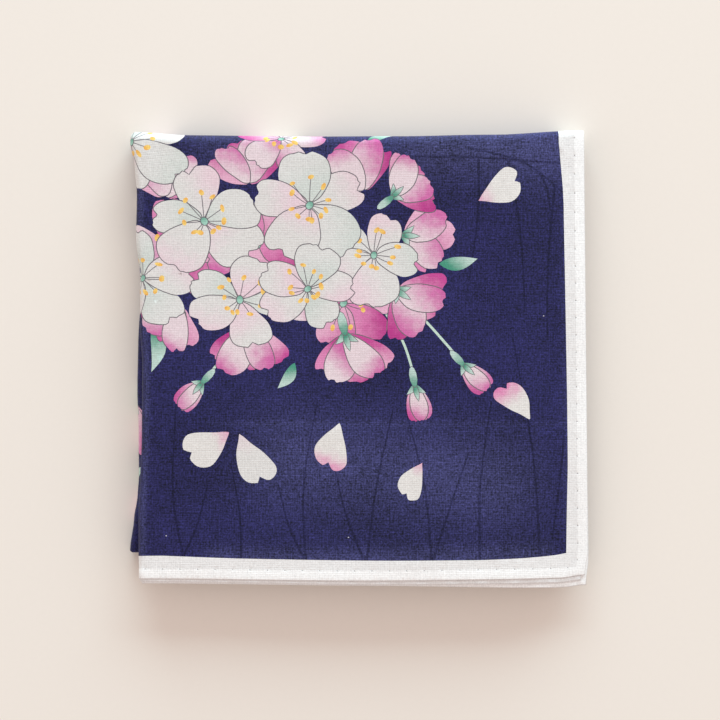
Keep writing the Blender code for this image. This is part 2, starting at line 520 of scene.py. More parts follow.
@dataclass(frozen=True)
class Shape:
    """One printed shape: a closed outline on the flat cloth, filled with an ink.

    Along a shape the flush grows from fade_from to fade_to. On the dyed ground the flush is painted sheen:
    lighter navy, strongest along the lines where the cloth catches the light.
    """

    outline: Points
    ink: Ink
    fade: Fade = Fade.NONE
    fade_from: Points | None = None
    fade_to: Points | None = None
    over: Over = Over.ANYTHING
    sheen_lines: tuple[PaintedSheen, ...] = ()

    def flush(self, points: Points) -> Points:
        """Return how strong the flush is at points of the flat cloth.

        Args:
            points: Flat places, one row each.

        Returns:
            One strength each: 0 for the plain colour, 1 for the flush colour.
        """
        if self.fade is Fade.ALONG:
            way = self.fade_to - self.fade_from
            return (points - self.fade_from) @ way / (way @ way)
        flush = np.zeros(len(points))
        # Painted sheen: lighter along each line where the cloth catches the light.
        for line in self.sheen_lines:
            away = distance_from_line(points, np.array(line.start), np.array(line.end))
            flush += line.strength * np.exp(-(away / line.reach) ** 2)
        return flush

    def covers(self, points: Points) -> Points:
        """Tell which points of the flat cloth lie inside the outline.

        Args:
            points: Flat places, one row each.

        Returns:
            One truth value for each point.
        """
        x, y = points.T
        inside = np.zeros(len(points), dtype=bool)
        ends = np.roll(self.outline, -1, axis=0)
        for (x0, y0), (x1, y1) in zip(self.outline, ends):
            if y0 == y1:
                continue
            crosses = (y0 > y) != (y1 > y)
            inside ^= crosses & (x < (x1 - x0) * (y - y0) / (y1 - y0) + x0)
        return inside


LINE_WIDTH = 0.26
FULL_TURN = 2 * math.pi
OVAL_FLUSH = (-0.45, 0.65)


def ribbon(line: Points, width: float, ink: Ink, tip: float = 1.0, over: Over = Over.ANYTHING,
           sheen_lines: tuple[PaintedSheen, ...] = ()) -> Shape:
    """Make a printed line.

    Args:
        line: Points along its middle.
        width: Its width at its first end.
        ink: Its ink.
        tip: Share of the width that is left at its other end.
        over: What the line shows on.
        sheen_lines: Lines of painted sheen that cross it.

    Returns:
        The shape.
    """
    way = np.gradient(line, axis=0)
    way /= np.linalg.norm(way, axis=1, keepdims=True)
    half = width / 2 * np.linspace(1.0, tip, len(line))[:, None]
    aside = np.column_stack((-way[:, 1], way[:, 0])) * half
    outline = np.concatenate((line - aside, (line + aside)[::-1]))
    # The line takes the painted sheen of any lines that cross it.
    return Shape(outline, ink, Fade.WORN, over=over, sheen_lines=sheen_lines)


def oval(centre: Points, length: float, width: float, turn_deg: float, ink: Ink,
         corners: int = 10, over: Over = Over.ANYTHING) -> Shape:
    """Make a printed oval.

    Args:
        centre: Its middle.
        length: Its length.
        width: Its width.
        turn_deg: The way that its length points.
        ink: Its ink, flushed towards one end.
        corners: Corners of its outline.
        over: What it shows on.

    Returns:
        The shape.
    """
    angles = np.linspace(0, FULL_TURN, corners, endpoint=False)
    along, aside = heading(turn_deg), heading(turn_deg + 90)
    outline = (centre + np.outer(np.cos(angles) * length / 2, along)
               + np.outer(np.sin(angles) * width / 2, aside))
    start, end = (centre + along * length * share for share in OVAL_FLUSH)
    return Shape(outline, ink, Fade.ALONG, start, end, over)


def outlined(outline: Points, inset: float, ink: Ink, start: Points, end: Points) -> list[Shape]:
    """Make a printed shape with its thin outline.

    Args:
        outline: Its points, anticlockwise.
        inset: Width of the outline.
        ink: Ink inside it.
        start: Where the flush starts.
        end: Where the flush is full.

    Returns:
        The outline's shape, then the fill's.
    """
    return [Shape(outline, Ink.OUTLINE, over=Over.MOTIFS),
            Shape(inward(outline, inset), ink, Fade.ALONG, start, end)]


class Span(NamedTuple):
    """A range that a number is drawn from."""

    low: float
    high: float

    def draw(self, chance: np.random.Generator) -> float:
        """Draw a number from the range."""
        return chance.uniform(self.low, self.high)


@dataclass(frozen=True)
class Petal:
    """One petal, drawn from its base: broad towards its tip, with an uneven notch there."""

    base: Points
    turn_deg: float
    length: float
    width: float
    ink: Ink = Ink.WHITE
    notch: float = 0.1
    notch_at: float = 0.0
    notch_width: float = 0.15
    nick: float = 0.35
    taper: float = 0.0
    belly: float = 0.6
    lean: float = 0.0
    flush_from: tuple[float, float] = (0.75, 0.0)
    flush_to: tuple[float, float] = (-0.1, 0.0)
    corners: int = 42
    squash: tuple[float, float] = (1.0, 0.0)
    inset: float = LINE_WIDTH
    base_spacing: float = 1.25
    wobble: float = 0.045
    fine_wobble: float = 0.02
    ripple: float = 0.008
    tip_from: float = 0.6
    nick_offset: float = 0.2
    nick_width: float = 0.6
    waves: tuple[int, int, int] = (2, 5, 7)

    def spread(self, along: Points, aside: Points) -> Points:
        """Turn places in the petal's own shares into places on the cloth.

        Args:
            along: Shares of the way from base to tip.
            aside: Shares of the length to the petal's left.

        Returns:
            One row for each place.
        """
        offset = self.length * (np.outer(along, heading(self.turn_deg))
                                + np.outer(aside, heading(self.turn_deg + 90)))
        kept, across_deg = self.squash
        across = heading(across_deg)
        return self.base + offset - np.outer(offset @ across, across) * (1 - kept)

    def outline(self) -> Points:
        """Draw the petal's outline, anticlockwise from its base.

        Returns:
            The outline's points, one row each.
        """
        run = np.linspace(-1, 1, self.corners, endpoint=False)
        turn = math.pi * (1 + np.sign(run) * np.abs(run) ** self.base_spacing)
        along = (1 - np.cos(turn)) / 2
        slow, fast, fine = self.waves
        wobble = 1 + self.wobble * np.sin(slow * turn + self.turn_deg)
        wobble = wobble + self.fine_wobble * np.sin(fast * turn + 2 * self.turn_deg)
        full = -np.sin(turn) * (1 + self.belly * (along - 0.5)) * wobble * along ** self.taper
        aside = full * self.width / 2
        nick_at, nick_width = self.notch_at + self.nick_offset, self.nick_width * self.notch_width
        for place, depth, half in ((self.notch_at, self.notch, self.notch_width),
                                   (nick_at, self.nick * self.notch, nick_width)):
            near = np.clip(1 - np.abs(aside / self.width - place) / half, 0, 1)
            along = along - depth * near * (along > self.tip_from)
        along = along + self.ripple * np.sin(fine * turn + 3 * self.turn_deg)
        aside = aside + self.lean * along ** 2
        return self.spread(along, aside)

    def shapes(self) -> list[Shape]:
        """Draw the petal.

        Returns:
            The outline's shape, then the fill's.
        """
        start, end = (self.spread(np.array([place[0]]), np.array([place[1]]))[0]
                      for place in (self.flush_from, self.flush_to))
        return outlined(self.outline(), self.inset, self.ink, start, end)


@dataclass(frozen=True)
class Motif:
    """Anything printed at a place of its own."""

    x: float
    y: float

    @property
    def foot(self) -> Points:
        """Flat place that the motif grows from."""
        return np.array((self.x, self.y))

    def shapes(self) -> list[Shape]:
        """Draw the motif, its lowest shape first."""
        raise NotImplementedError


FLUSHES = (
    ((0.70, 0.10), (-0.15, 0.0)),
    ((0.30, -0.25), (0.95, 0.45)),
    ((0.45, 0.30), (0.80, -0.55)),
    ((0.95, 0.10), (0.10, -0.15)),
    ((0.25, 0.0), (1.25, 0.1)),
)


@dataclass(frozen=True)
class Blossom(Motif):
    """An open five-petalled blossom with its stamens, seen a little from one side."""

    reach: float
    turn_deg: float
    seed: int
    inks: tuple[Ink, ...] = (Ink.WHITE, Ink.MIST, Ink.WHITE, Ink.WHITE, Ink.MIST)
    squash: tuple[float, float] = (0.92, 80)
    stamens: int = 11
    fullness: float = 0.80
    lift_deg: float = 90.0
    disc: tuple[float, float] = (0.1375, 0.11)
    disc_turn_deg: float = 20.0
    petal_out: float = 0.4
    petal_turn: Span = Span(-9, 9)
    petal_length: Span = Span(0.84, 1.08)
    petal_width: Span = Span(0.86, 1.12)
    notch: Span = Span(0.07, 0.14)
    notch_at: Span = Span(-0.16, 0.12)
    belly: Span = Span(0.3, 0.95)
    lean: Span = Span(-0.12, 0.12)
    stamen_start_deg: float = 31.0
    stamen_turn: Span = Span(-0.3, 0.3)
    stamen_reach: float = 0.34
    stamen_lift: float = 0.11
    stamen_length: Span = Span(0.85, 1.15)
    stamen_bend: Span = Span(-0.16, 0.16)
    filament: float = 0.22
    filament_shares: tuple[float, ...] = (0.1, 0.4, 0.7, 1.0)
    anther_length: Span = Span(1.5, 2.3)
    anther_width: Span = Span(1.05, 1.45)

    def shapes(self) -> list[Shape]:
        """Draw the blossom.

        Returns:
            The petals, then the stamens and the disc over them.
        """
        chance = np.random.default_rng(self.seed)
        shapes: list[Shape] = []
        for petal in chance.permutation(len(self.inks)):
            turn = self.turn_deg + 360 / len(self.inks) * petal + self.petal_turn.draw(chance)
            start, end = FLUSHES[int(chance.integers(len(FLUSHES)))]
            shapes += Petal(self.foot + heading(turn) * self.petal_out, turn,
                            self.reach * self.petal_length.draw(chance),
                            self.fullness * self.petal_width.draw(chance), self.inks[petal],
                            notch=self.notch.draw(chance), notch_at=self.notch_at.draw(chance),
                            belly=self.belly.draw(chance), lean=self.lean.draw(chance),
                            flush_from=start, flush_to=end, squash=self.squash).shapes()
        return shapes + self.stamen_shapes(chance)

    def stamen_shapes(self, chance: np.random.Generator) -> list[Shape]:
        """Draw the middle of the blossom.

        Args:
            chance: Source of the unevenness.

        Returns:
            Filaments, anthers, and the disc that they grow from.
        """
        shapes: list[Shape] = []
        for stamen in range(self.stamens):
            step = (stamen + self.stamen_turn.draw(chance)) / self.stamens
            turn = self.turn_deg + self.stamen_start_deg + 360 * step
            facing = math.cos(math.radians(turn - self.lift_deg))
            reach = self.reach * (self.stamen_reach + self.stamen_lift * facing)
            reach *= self.stamen_length.draw(chance)
            bend = self.stamen_bend.draw(chance)
            way, aside = heading(turn), heading(turn + 90)
            line = self.foot + reach * np.array(
                [way * share + aside * bend * share ** 2 for share in self.filament_shares])
            shapes.append(ribbon(line, self.filament, Ink.OUTLINE))
            shapes.append(oval(line[-1], self.anther_length.draw(chance), self.anther_width.draw(chance),
                               chance.uniform(0, 360), Ink.ANTHER, corners=9))
        length, width = self.reach * self.disc[0], self.reach * self.disc[1]
        turn = self.turn_deg + self.disc_turn_deg
        for rim, ink in ((2 * LINE_WIDTH, Ink.OUTLINE), (0.0, Ink.PISTIL)):
            shapes.append(oval(self.foot, length + rim, width + rim, turn, ink))
        return shapes


@dataclass(frozen=True)
class SideBlossom(Motif):
    """A blossom seen from the side: a back and a front fan of petals that open out of its calyx."""

    reach: float
    turn_deg: float
    seed: int
    spread_deg: float = 36.0
    calyx: bool = True
    calyx_size: float = 0.33
    fan: tuple[tuple[float, Ink, float], ...] = (
        (-1.0, Ink.ROSE, 0.60), (1.0, Ink.PINK, 0.60), (0.15, Ink.PINK, 0.66), (-0.5, Ink.BLUSH, 0.62),
        (0.6, Ink.BLUSH, 0.56))
    petal_turn: Span = Span(-5, 5)
    petal_length: Span = Span(0.84, 1.06)
    petal_width: Span = Span(0.9, 1.15)
    petal_lean: float = 0.2
    notch: Span = Span(0.05, 0.1)
    notch_at: Span = Span(-0.2, 0.1)
    belly: Span = Span(0.2, 0.7)
    flush_aside: float = 0.42

    def shapes(self) -> list[Shape]:
        """Draw the blossom.

        Returns:
            The back petals, the front petals and the calyx.
        """
        chance = np.random.default_rng(self.seed)
        shapes: list[Shape] = []
        for lean, ink, full in self.fan:
            turn = self.turn_deg + lean * self.spread_deg + self.petal_turn.draw(chance)
            side = self.flush_aside * (1 if chance.random() < 0.5 else -1)
            flushes = (((0.35, -side), (0.9, side)), ((0.75, side), (0.1, 0.0)),
                       ((0.5, 0.0), (1.05, side * 0.4)), ((0.3, side), (0.95, -side)))
            start, end = flushes[int(chance.integers(len(flushes)))]
            shapes += Petal(self.foot, turn, self.reach * self.petal_length.draw(chance),
                            full * self.petal_width.draw(chance), ink, notch=self.notch.draw(chance),
                            notch_at=self.notch_at.draw(chance), belly=self.belly.draw(chance),
                            lean=self.petal_lean * lean, flush_from=start, flush_to=end,
                            corners=32).shapes()
        if self.calyx:
            shapes += Calyx(self.x, self.y, self.reach * self.calyx_size, self.turn_deg).shapes()
        return shapes


@dataclass(frozen=True)
class Calyx(Motif):
    """The green cup of a blossom or bud: its tube and three pointed lobes. Its sizes are shares."""

    size: float
    turn_deg: float
    lobes: tuple[tuple[float, float], ...] = ((-46, 0.95), (42, 1.05), (4, 1.25))
    lobe_width: float = 0.40
    lobe_bend: float = -0.0025
    lobe_back: float = 0.25
    tube_back: float = 0.7
    tube_length: float = 1.5
    tube_width: float = 0.58

    def shapes(self) -> list[Shape]:
        """Draw the cup.

        Returns:
            The lobes, then the tube over them.
        """
        way = heading(self.turn_deg)
        shapes: list[Shape] = []
        for lean, length in self.lobes:
            shapes += Leaf(*(self.foot - way * self.size * self.lobe_back), self.size * length,
                           self.size * self.lobe_width, self.turn_deg + lean,
                           self.lobe_bend * lean).shapes()
        tube = self.foot - way * self.size * self.tube_back
        length, width = self.size * self.tube_length, self.size * self.tube_width
        return [*shapes, oval(tube, length, width, self.turn_deg, Ink.OUTLINE, over=Over.MOTIFS),
                oval(tube, length - 0.4, width - 0.3, self.turn_deg, Ink.LEAF)]


@dataclass(frozen=True)
class Leaf(Motif):
    """A pointed leaf, flushed darker towards its base and one side."""

    length: float
    width: float
    turn_deg: float
    bend: float = 0.12
    widest: float = 0.85
    fullness: float = 0.9
    flush_from: tuple[float, float] = (0.8, 0.35)
    flush_to: tuple[float, float] = (0.2, -0.6)
    inset: float = LINE_WIDTH * 0.7

    def shapes(self) -> list[Shape]:
        """Draw the leaf.

        Returns:
            The outline's shape, then the fill's.
        """
        base = self.foot
        share = np.linspace(0, 1, 11)
        swell = np.sin(math.pi * share ** self.widest) ** self.fullness * self.width / 2
        middle = self.bend * self.length * np.sin(math.pi * share)
        way, aside = heading(self.turn_deg), heading(self.turn_deg + 90)
        right = base + np.outer(share * self.length, way) + np.outer(middle - swell, aside)
        left = base + np.outer(share * self.length, way) + np.outer(middle + swell, aside)
        outline = np.concatenate((right, left[-2:0:-1]))
        start, end = (base + way * self.length * along + aside * self.width * out
                      for along, out in (self.flush_from, self.flush_to))
        return outlined(outline, self.inset, Ink.LEAF, start, end)


@dataclass(frozen=True)
class Bud(Motif):
    """A closed bud on its stalk: rolled petals, calyx and tube."""

    length: float
    turn_deg: float
    stalk: tuple[tuple[float, float], ...]
    stalk_width: float = 0.7
    fullness: float = 0.5
    calyx_size: float = 0.42

    def shapes(self) -> list[Shape]:
        """Draw the bud.

        Returns:
            The stalk, the rolled petals and the calyx.
        """
        shapes = [ribbon(through(self.stalk, 5), self.stalk_width, Ink.STALK)]
        for lean, ink, start, end in (
            (-15, Ink.PINK, (0.2, 0.2), (1.0, -0.2)),
            (15, Ink.BLUSH, (0.2, -0.3), (1.0, 0.3)),
            (2, Ink.BLUSH, (0.3, 0.2), (1.15, -0.1)),
        ):
            shapes += Petal(self.foot, self.turn_deg + lean, self.length, self.fullness, ink, notch=0.05,
                            belly=0.1, lean=-0.004 * lean, flush_from=start, flush_to=end,
                            corners=24).shapes()
        return shapes + Calyx(self.x, self.y, self.length * self.calyx_size, self.turn_deg).shapes()


@dataclass(frozen=True)
class LoosePetal(Motif):
    """A petal that has come off and drifts over the ground."""

    length: float
    turn_deg: float
    fullness: float = 0.72
    lean: float = 0.16
    flush_from: float = 0.55
    flush_to: float = -0.35
    ink: Ink = Ink.DRIFT

    def shapes(self) -> list[Shape]:
        """Draw the petal, flushed at its base or at its notch.

        Returns:
            Its fill's shape.
        """
        petal = Petal(self.foot, self.turn_deg, self.length, self.fullness, self.ink,
                      notch=0.12, notch_at=-0.05, notch_width=0.12, nick=0.0, taper=0.42, belly=0.7,
                      lean=self.lean, flush_from=(self.flush_from, 0.0), flush_to=(self.flush_to, 0.1),
                      inset=0.0)
        return petal.shapes()[1:]


PINKS = (Ink.PINK, Ink.ROSE, Ink.BLUSH, Ink.PINK, Ink.ROSE)
MIXED = (Ink.BLUSH, Ink.WHITE, Ink.PINK, Ink.BLUSH, Ink.BLUSH)


@dataclass(frozen=True)
class Print:
    """The printed cloth: border, ground with its painted sheen, soft dark branches, and the spray of
    blossom.

    The arrangement is this script's own. Open blossoms lie in front, behind them come pink ones seen
    from the side, and buds, leaves and loose petals stand round the spray.
    """

    border: float = 6.0
    hem: float = 2.8
    border_step: float = 4.0
    corner_clearance: tuple[float, float] = (9.0, 8.0)
    branch_width: float = 0.75
    branch_tip: float = 0.5
    speck: tuple[float, float] = (0.45, 0.35)
    right_border: tuple[tuple[float, float], ...] = (
        (-61.2, 6.0), (-54.0, 6.0), (-43.0, 5.8), (-30.0, 5.45), (-11.0, 5.45), (17.0, 5.7),
        (45.0, 5.95), (60.0, 7.3), (90.0, 6.6))
    bottom_border: tuple[tuple[float, float], ...] = (
        (-66.0, 6.4), (-62.0, 6.3), (-56.0, 6.5), (-36.0, 5.9), (-12.0, 5.75), (17.0, 5.55),
        (33.5, 5.45), (44.6, 5.8), (52.0, 6.3), (57.5, 7.0))
    # Lines of painted sheen on the navy ground, lighter where the folds, hems, crease and the cloth's
    # gentle dome catch the light: the top fold, the top right, the near hem, the left fold's edge, the
    # crease across the middle, a broad patch low in the middle, and inside the right hem.
    sheen_lines: tuple[PaintedSheen, ...] = (
        PaintedSheen((-40.0, 62.0), (70.0, 62.0), 8.0, 0.32),
        PaintedSheen((22.0, 58.0), (58.0, 54.0), 9.0, 0.30),
        PaintedSheen((-40.0, -55.8), (50.0, -54.8), 3.2, 0.46),
        PaintedSheen((-60.2, -56.0), (-60.2, 60.0), 0.9, 0.45),
        PaintedSheen((-42.0, -17.9), (56.0, -18.6), 0.6, 0.12),
        PaintedSheen((-20.0, -28.0), (36.0, -34.0), 13.0, 0.42),
        PaintedSheen((57.2, -50.0), (57.4, 40.0), 1.6, 0.22),
    )
    branches: tuple[tuple[tuple[float, float], ...], ...] = (
        ((8, 56.6), (32, 55.8), (58, 53.0)),
        ((30, 58.5), (45, 54.2), (57, 45.0)),
        ((16, 55.8), (14.6, 46.0), (14.2, 35.0)),
        ((33, 55.2), (32.8, 40.0), (30.4, 22.0)),
        ((41, 55.0), (44.2, 36.0), (45.4, 14.0)),
        ((54, 48.0), (52.0, 29.0), (51.4, 6.0)),
        ((49.5, 51.2), (51.8, 46.6), (52.6, 41.0)),
        ((49, -54.8), (47.2, -26.0), (42.0, 6.0)),
        ((33, -55.4), (33.2, -35.0), (36.2, -12.0)),
        ((20, -55.6), (18.2, -36.0), (12.8, -14.0)),
        ((20.4, -55.6), (24.8, -42.0), (30.2, -26.0)),
        ((2, -55.8), (4.6, -36.0), (9.4, -14.0)),
        ((1.4, -55.8), (-3.8, -43.0), (-7.2, -29.0)),
        ((-15, -55.8), (-15.6, -35.0), (-11.8, -12.0)),
        ((-15, -55.8), (-19.8, -46.0), (-22.6, -35.0)),
        ((-33, -55.5), (-33.4, -43.0), (-36.0, -29.0)),
        ((-49, -55.0), (-52.2, -34.0), (-51.4, -8.0)),
        ((-49, -55.0), (-45.0, -46.0), (-42.4, -35.0)),
        ((56, -20.0), (54.6, -34.0), (52.4, -50.0)),
    )
    behind: tuple[Motif, ...] = (
        SideBlossom(-53.5, 45.0, 15.0, 84, 11, calyx=False),
        SideBlossom(-31.0, 49.0, 14.5, 96, 12, calyx=False),
        SideBlossom(1.0, 47.0, 15.0, 104, 13, calyx=False),
        Blossom(-51.5, 29.5, 15.5, 20, 14, PINKS, stamens=7),
        Blossom(-28.5, 32.0, 16.0, 54, 15, PINKS, stamens=0),
        SideBlossom(-50.0, 15.0, 13.5, 238, 16, calyx=False),
        SideBlossom(-30.5, 9.0, 15.0, 264, 17),
        Blossom(-4.5, 15.5, 15.5, 30, 18, PINKS, stamens=8, lift_deg=250),
        SideBlossom(-4.0, 6.5, 14.5, 282, 19),
        SideBlossom(10.5, 19.0, 14.5, 322, 20),
        SideBlossom(12.5, 34.5, 14.0, 352, 21),
        SideBlossom(9.5, 45.5, 12.5, 38, 22),
    )
    blossoms: tuple[Blossom, ...] = (
        Blossom(-60.8, 22.5, 14.5, 18, 31, lift_deg=20),
        Blossom(-61.5, 60.0, 16.0, 40, 32),
        Blossom(-22.0, 62.5, 13.0, 12, 33, MIXED),
        Blossom(-43.0, 38.5, 16.2, 100, 34),
        Blossom(4.0, 29.0, 14.6, 62, 35, lift_deg=60),
        Blossom(-14.0, 43.0, 16.6, 28, 36),
        Blossom(-33.5, 16.5, 16.0, 76, 37, lift_deg=60),
        Blossom(-14.5, 19.5, 14.2, 8, 38, lift_deg=120),
    )
    sprigs: tuple[Motif, ...] = (
        Leaf(-57.5, 10.5, 14.5, 4.6, 265, 0.12),
        Leaf(22.0, 26.5, 11.0, 4.2, 8, -0.06),
        Leaf(2.0, 60.0, 10.0, 3.8, 34, 0.1),
        Leaf(-18.0, -1.0, 9.0, 3.6, 236, 0.1),
        Bud(29.0, -2.0, 9.6, 312, ((11.0, 17.0), (18.0, 11.0), (26.4, 1.4))),
        Bud(15.5, -8.0, 10.0, 280, ((6.5, 14.0), (12.0, 5.0), (14.9, -3.6))),
        Bud(-44.5, -7.0, 9.6, 226, ((-33.0, 6.0), (-38.0, 0.5), (-42.0, -4.0))),
    )
    drifting: tuple[LoosePetal, ...] = (
        LoosePetal(33.0, 44.0, 12.5, 22, fullness=0.8),
        LoosePetal(-36.5, -20.5, 13.5, 216, fullness=0.9, lean=-0.1),
        LoosePetal(-33.5, -21.0, 14.8, 290, fullness=0.76, ink=Ink.WHITE),
        LoosePetal(-5.5, -18.0, 12.8, 248, fullness=0.84, flush_from=0.5, flush_to=1.25),
        LoosePetal(46.5, -17.0, 12.0, 120, fullness=0.74, flush_from=0.35, flush_to=1.15),
        LoosePetal(17.5, -29.0, 10.5, 236, fullness=0.76),
    )
    beneath: tuple[Motif, ...] = (
        SideBlossom(-30.0, 86.0, 15.0, 80, 51),
        SideBlossom(-8.0, 80.0, 14.0, 48, 52),
        Blossom(-48.0, 88.0, 17.0, 10, 53),
        Blossom(-24.0, 80.0, 15.0, 50, 54),
        Leaf(-36.0, 104.0, 14.0, 5.0, 96, 0.1),
        Bud(4.0, 100.0, 10.0, 62, ((-4.0, 88.0), (0.0, 94.0), (3.2, 98.0))),
        SideBlossom(-62.0, 146.0, 15.0, 78, 56),
        SideBlossom(-61.0, 168.0, 13.0, 40, 57),
        LoosePetal(20.0, 116.0, 13.0, 40),
        LoosePetal(-34.0, 136.0, 12.0, 140),
        LoosePetal(38.0, 156.0, 12.0, 300, ink=Ink.WHITE),
        LoosePetal(-2.0, 170.0, 11.0, 210),
    )
    specks: tuple[tuple[float, float], ...] = ((-53.6, -49.2), (-3.1, -49.2), (31.0, -6.0), (50.5, 12.0))

    def border_outline(self, pile: Pile) -> Points:
        """Return the line of the hem's inner edge, which bounds the single cloth of the border."""
        return pile.frame(self.hem)

    def ground_outline(self, pile: Pile) -> Points:
        """Draw the dyed field's outline, uneven along the front leaf's hems.

        Args:
            pile: How the cloth lies.

        Returns:
            The outline's points, anticlockwise.
        """
        left = pile.rim_left + self.border
        top = pile.far_end - self.border
        clear_x, clear_y = self.corner_clearance
        ups = np.arange(pile.bottom_edge + clear_y, top, self.border_step)
        backs = np.arange(pile.right_edge - clear_x, left, -self.border_step)
        right_places, right_widths = zip(*self.right_border)
        low_places, low_widths = zip(*self.bottom_border)
        right_side = pile.right_edge - np.interp(ups, right_places, right_widths)
        low_side = pile.bottom_edge + np.interp(backs, low_places, low_widths)
        corner = [(pile.right_edge - right_widths[0], pile.bottom_edge + low_widths[-1])]
        right = np.column_stack((right_side, ups))
        low = np.column_stack((backs, low_side))[::-1]
        return np.concatenate((corner, right, [(pile.right_edge - self.border, top), (left, top),
                                               (left, pile.bottom_edge + self.border)], low))

    def shapes(self, pile: Pile) -> list[Shape]:
        """Draw the print.

        Args:
            pile: How the cloth lies.

        Returns:
            Every printed shape, the lowest first.
        """
        # The ground and its branches are lightened by painted sheen along its lines.
        shapes = [Shape(self.border_outline(pile), Ink.BORDER),
                  Shape(self.ground_outline(pile), Ink.GROUND, Fade.WORN, sheen_lines=self.sheen_lines)]
        for knots in self.branches:
            shapes.append(ribbon(through(knots, 6), self.branch_width, Ink.SHADE_LINE, self.branch_tip,
                                 Over.GROUND, self.sheen_lines))
        for motif in (*self.sprigs, *self.behind, *self.blossoms, *self.drifting, *self.beneath):
            shapes += motif.shapes()
        for x, y in self.specks:
            shapes.append(oval(np.array((x, y)), *self.speck, 0, Ink.SPECK, corners=6))
        return shapes


@dataclass(frozen=True)
class Hem:
    """The narrow hem, turned and sewn down all round: where it is sewn, and its raised form."""

    width: float = 2.8
    pitch: float = 4.85
    first: float = 5.2
    roll: float = 0.06
    roll_fullness: float = 0.4
    beat_share: float = 0.28
    swell: float = 0.05
    groove: float = 0.03
    groove_out: float = 0.15
    groove_width: float = 0.35
    dimple: float = 0.08
    dimple_reach: float = 0.5
    pucker: float = 0.03
    pucker_start: float = 0.6
    pucker_reach: float = 1.3
    # Size and place of the grey spot of painted shade in each needle hole.
    prick_shade_size: float = 0.42
    prick_shade_back: float = 0.3
    shown_beyond_left: float = 4.0
    shown_beyond_top: float = 14.0
    top_fade: float = 8.0
    stitch_band: float = 2.0

    def stitch_places(self, pile: Pile) -> tuple[Points, Points]:
        """Space the stitches along the near hem and up the right one.

        Args:
            pile: How the cloth lies.

        Returns:
            The stitches' flat places, and the unit vectors that they run along.
        """
        x = np.arange(pile.right_edge - self.first, pile.left_line - 2, -self.pitch)[::-1]
        y = np.arange(pile.bottom_edge + self.first, pile.back_line, self.pitch)
        near = np.column_stack((x, np.full(len(x), pile.bottom_edge + self.width)))
        right = np.column_stack((np.full(len(y), pile.right_edge - self.width), y))
        ways = np.array([(1.0, 0.0)] * len(x) + [(0.0, 1.0)] * len(y))
        return np.concatenate((near, right)), ways

    def relief(self, pile: Pile, flat: Points) -> Points:
        """Raise the printed side for its hems and stitches.

        Args:
            pile: How the cloth lies.
            flat: Flat places, one row each.

        Returns:
            One rise for each place.
        """
        x, y = flat.T
        from_right, from_near = pile.right_edge - x, y - pile.bottom_edge
        beyond_left = x - pile.rim_left
        edge = np.minimum(np.minimum(from_right, beyond_left), np.minimum(from_near, pile.far_end - y))
        rise = np.where(edge < self.width, self.swell, 0.0)
        outer = eased((x - pile.left_line + self.shown_beyond_left) / self.shown_beyond_left)
        outer *= eased((pile.top_line + self.shown_beyond_top - y) / self.top_fade)
        for away, run in ((from_right, from_near), (from_near, from_right)):
            beat = np.abs(np.sin(math.pi * (run - self.first) / self.pitch))
            shell = np.sqrt(np.clip(1 - ((away - self.width / 2) / (self.width / 2)) ** 2, 0, 1))
            rolled = shell ** self.roll_fullness * (1 - self.beat_share + self.beat_share * beat)
            grooved = np.exp(-((away - self.width - self.groove_out) / self.groove_width) ** 2)
            beyond = np.clip(away - self.width, 0, None)
            puckered = beat * eased(beyond / self.pucker_start) * np.exp(-beyond / self.pucker_reach)
            rise = rise + outer * (self.roll * rolled - self.groove * grooved + self.pucker * puckered)
        places, _ = self.stitch_places(pile)
        close = np.flatnonzero((np.abs(edge - self.width) < self.stitch_band) & (outer > 0))
        if len(close):
            gaps = np.linalg.norm(flat[close, None, :] - places[None, :, :], axis=2).min(axis=1)
            rise[close] -= self.dimple * np.exp(-(gaps / self.dimple_reach) ** 2)
        return rise

    def prick_shades(self, pile: Pile) -> list[Shape]:
        """Draw the painted shade of the needle holes beside the stitches.

        Args:
            pile: How the cloth lies.

        Returns:
            One small grey spot of painted shade for each stitch.
        """
        places, ways = self.stitch_places(pile)
        return [oval(place - way * self.prick_shade_back, self.prick_shade_size, self.prick_shade_size * 0.8, 0, Ink.PRICK_SHADE, 7)
                for place, way in zip(places, ways)]


@dataclass(frozen=True)
class FrontLeaf:
    """The soft creases and waves of the leaf that lies on top."""

    creases: tuple[Crease, ...] = (
        Crease(-40.0, -17.6, 58.0, -18.4, 1.3, -0.13),
        Crease(-40.0, -20.0, 58.0, -20.6, 3.4, 0.10),
        Crease(-58.2, -60.0, -57.6, 58.0, 1.6, 0.10),
        Crease(-20.0, 57.0, 60.0, 56.2, 2.6, 0.12),
        Crease(-30.0, -50.5, 54.0, -49.5, 3.0, 0.09),
        Crease(24.0, 52.0, 40.0, -10.0, 4.5, -0.08),
        Crease(54.0, 40.0, 53.0, -52.0, 2.0, -0.08),
    )
    wave: float = 0.10
    wave_lengths: tuple[float, float] = (9.0, 11.0)
    wave_sway: tuple[float, float] = (1.3, 17.0)
    wave_shift: float = 0.7
    slant: float = 0.5
    slant_lengths: tuple[float, float] = (5.1, 7.3)

    def relief(self, flat: Points) -> Points:
        """Raise the top of the front leaf in its creases and waves.

        Args:
            flat: Flat places, one row each.

        Returns:
            One rise for each place.
        """
        x, y = flat.T
        (over, up), (sway, sway_length), slants = self.wave_lengths, self.wave_sway, self.slant_lengths
        swell = np.sin(x / over + sway * np.sin(y / sway_length)) * np.sin(y / up + self.wave_shift)
        rise = self.wave * (swell + self.slant * np.sin(x / slants[0] + y / slants[1]))
        for crease in self.creases:
            ends = np.array((crease.from_x, crease.from_y)), np.array((crease.to_x, crease.to_y))
            away = distance_from_line(flat, *ends)
            rise = rise + crease.rise * np.exp(-(away / crease.width) ** 2)
        return rise


@dataclass
class Skin:
    """One side of the flat cloth as a net of triangles."""

    points: Points
    triangles: Points


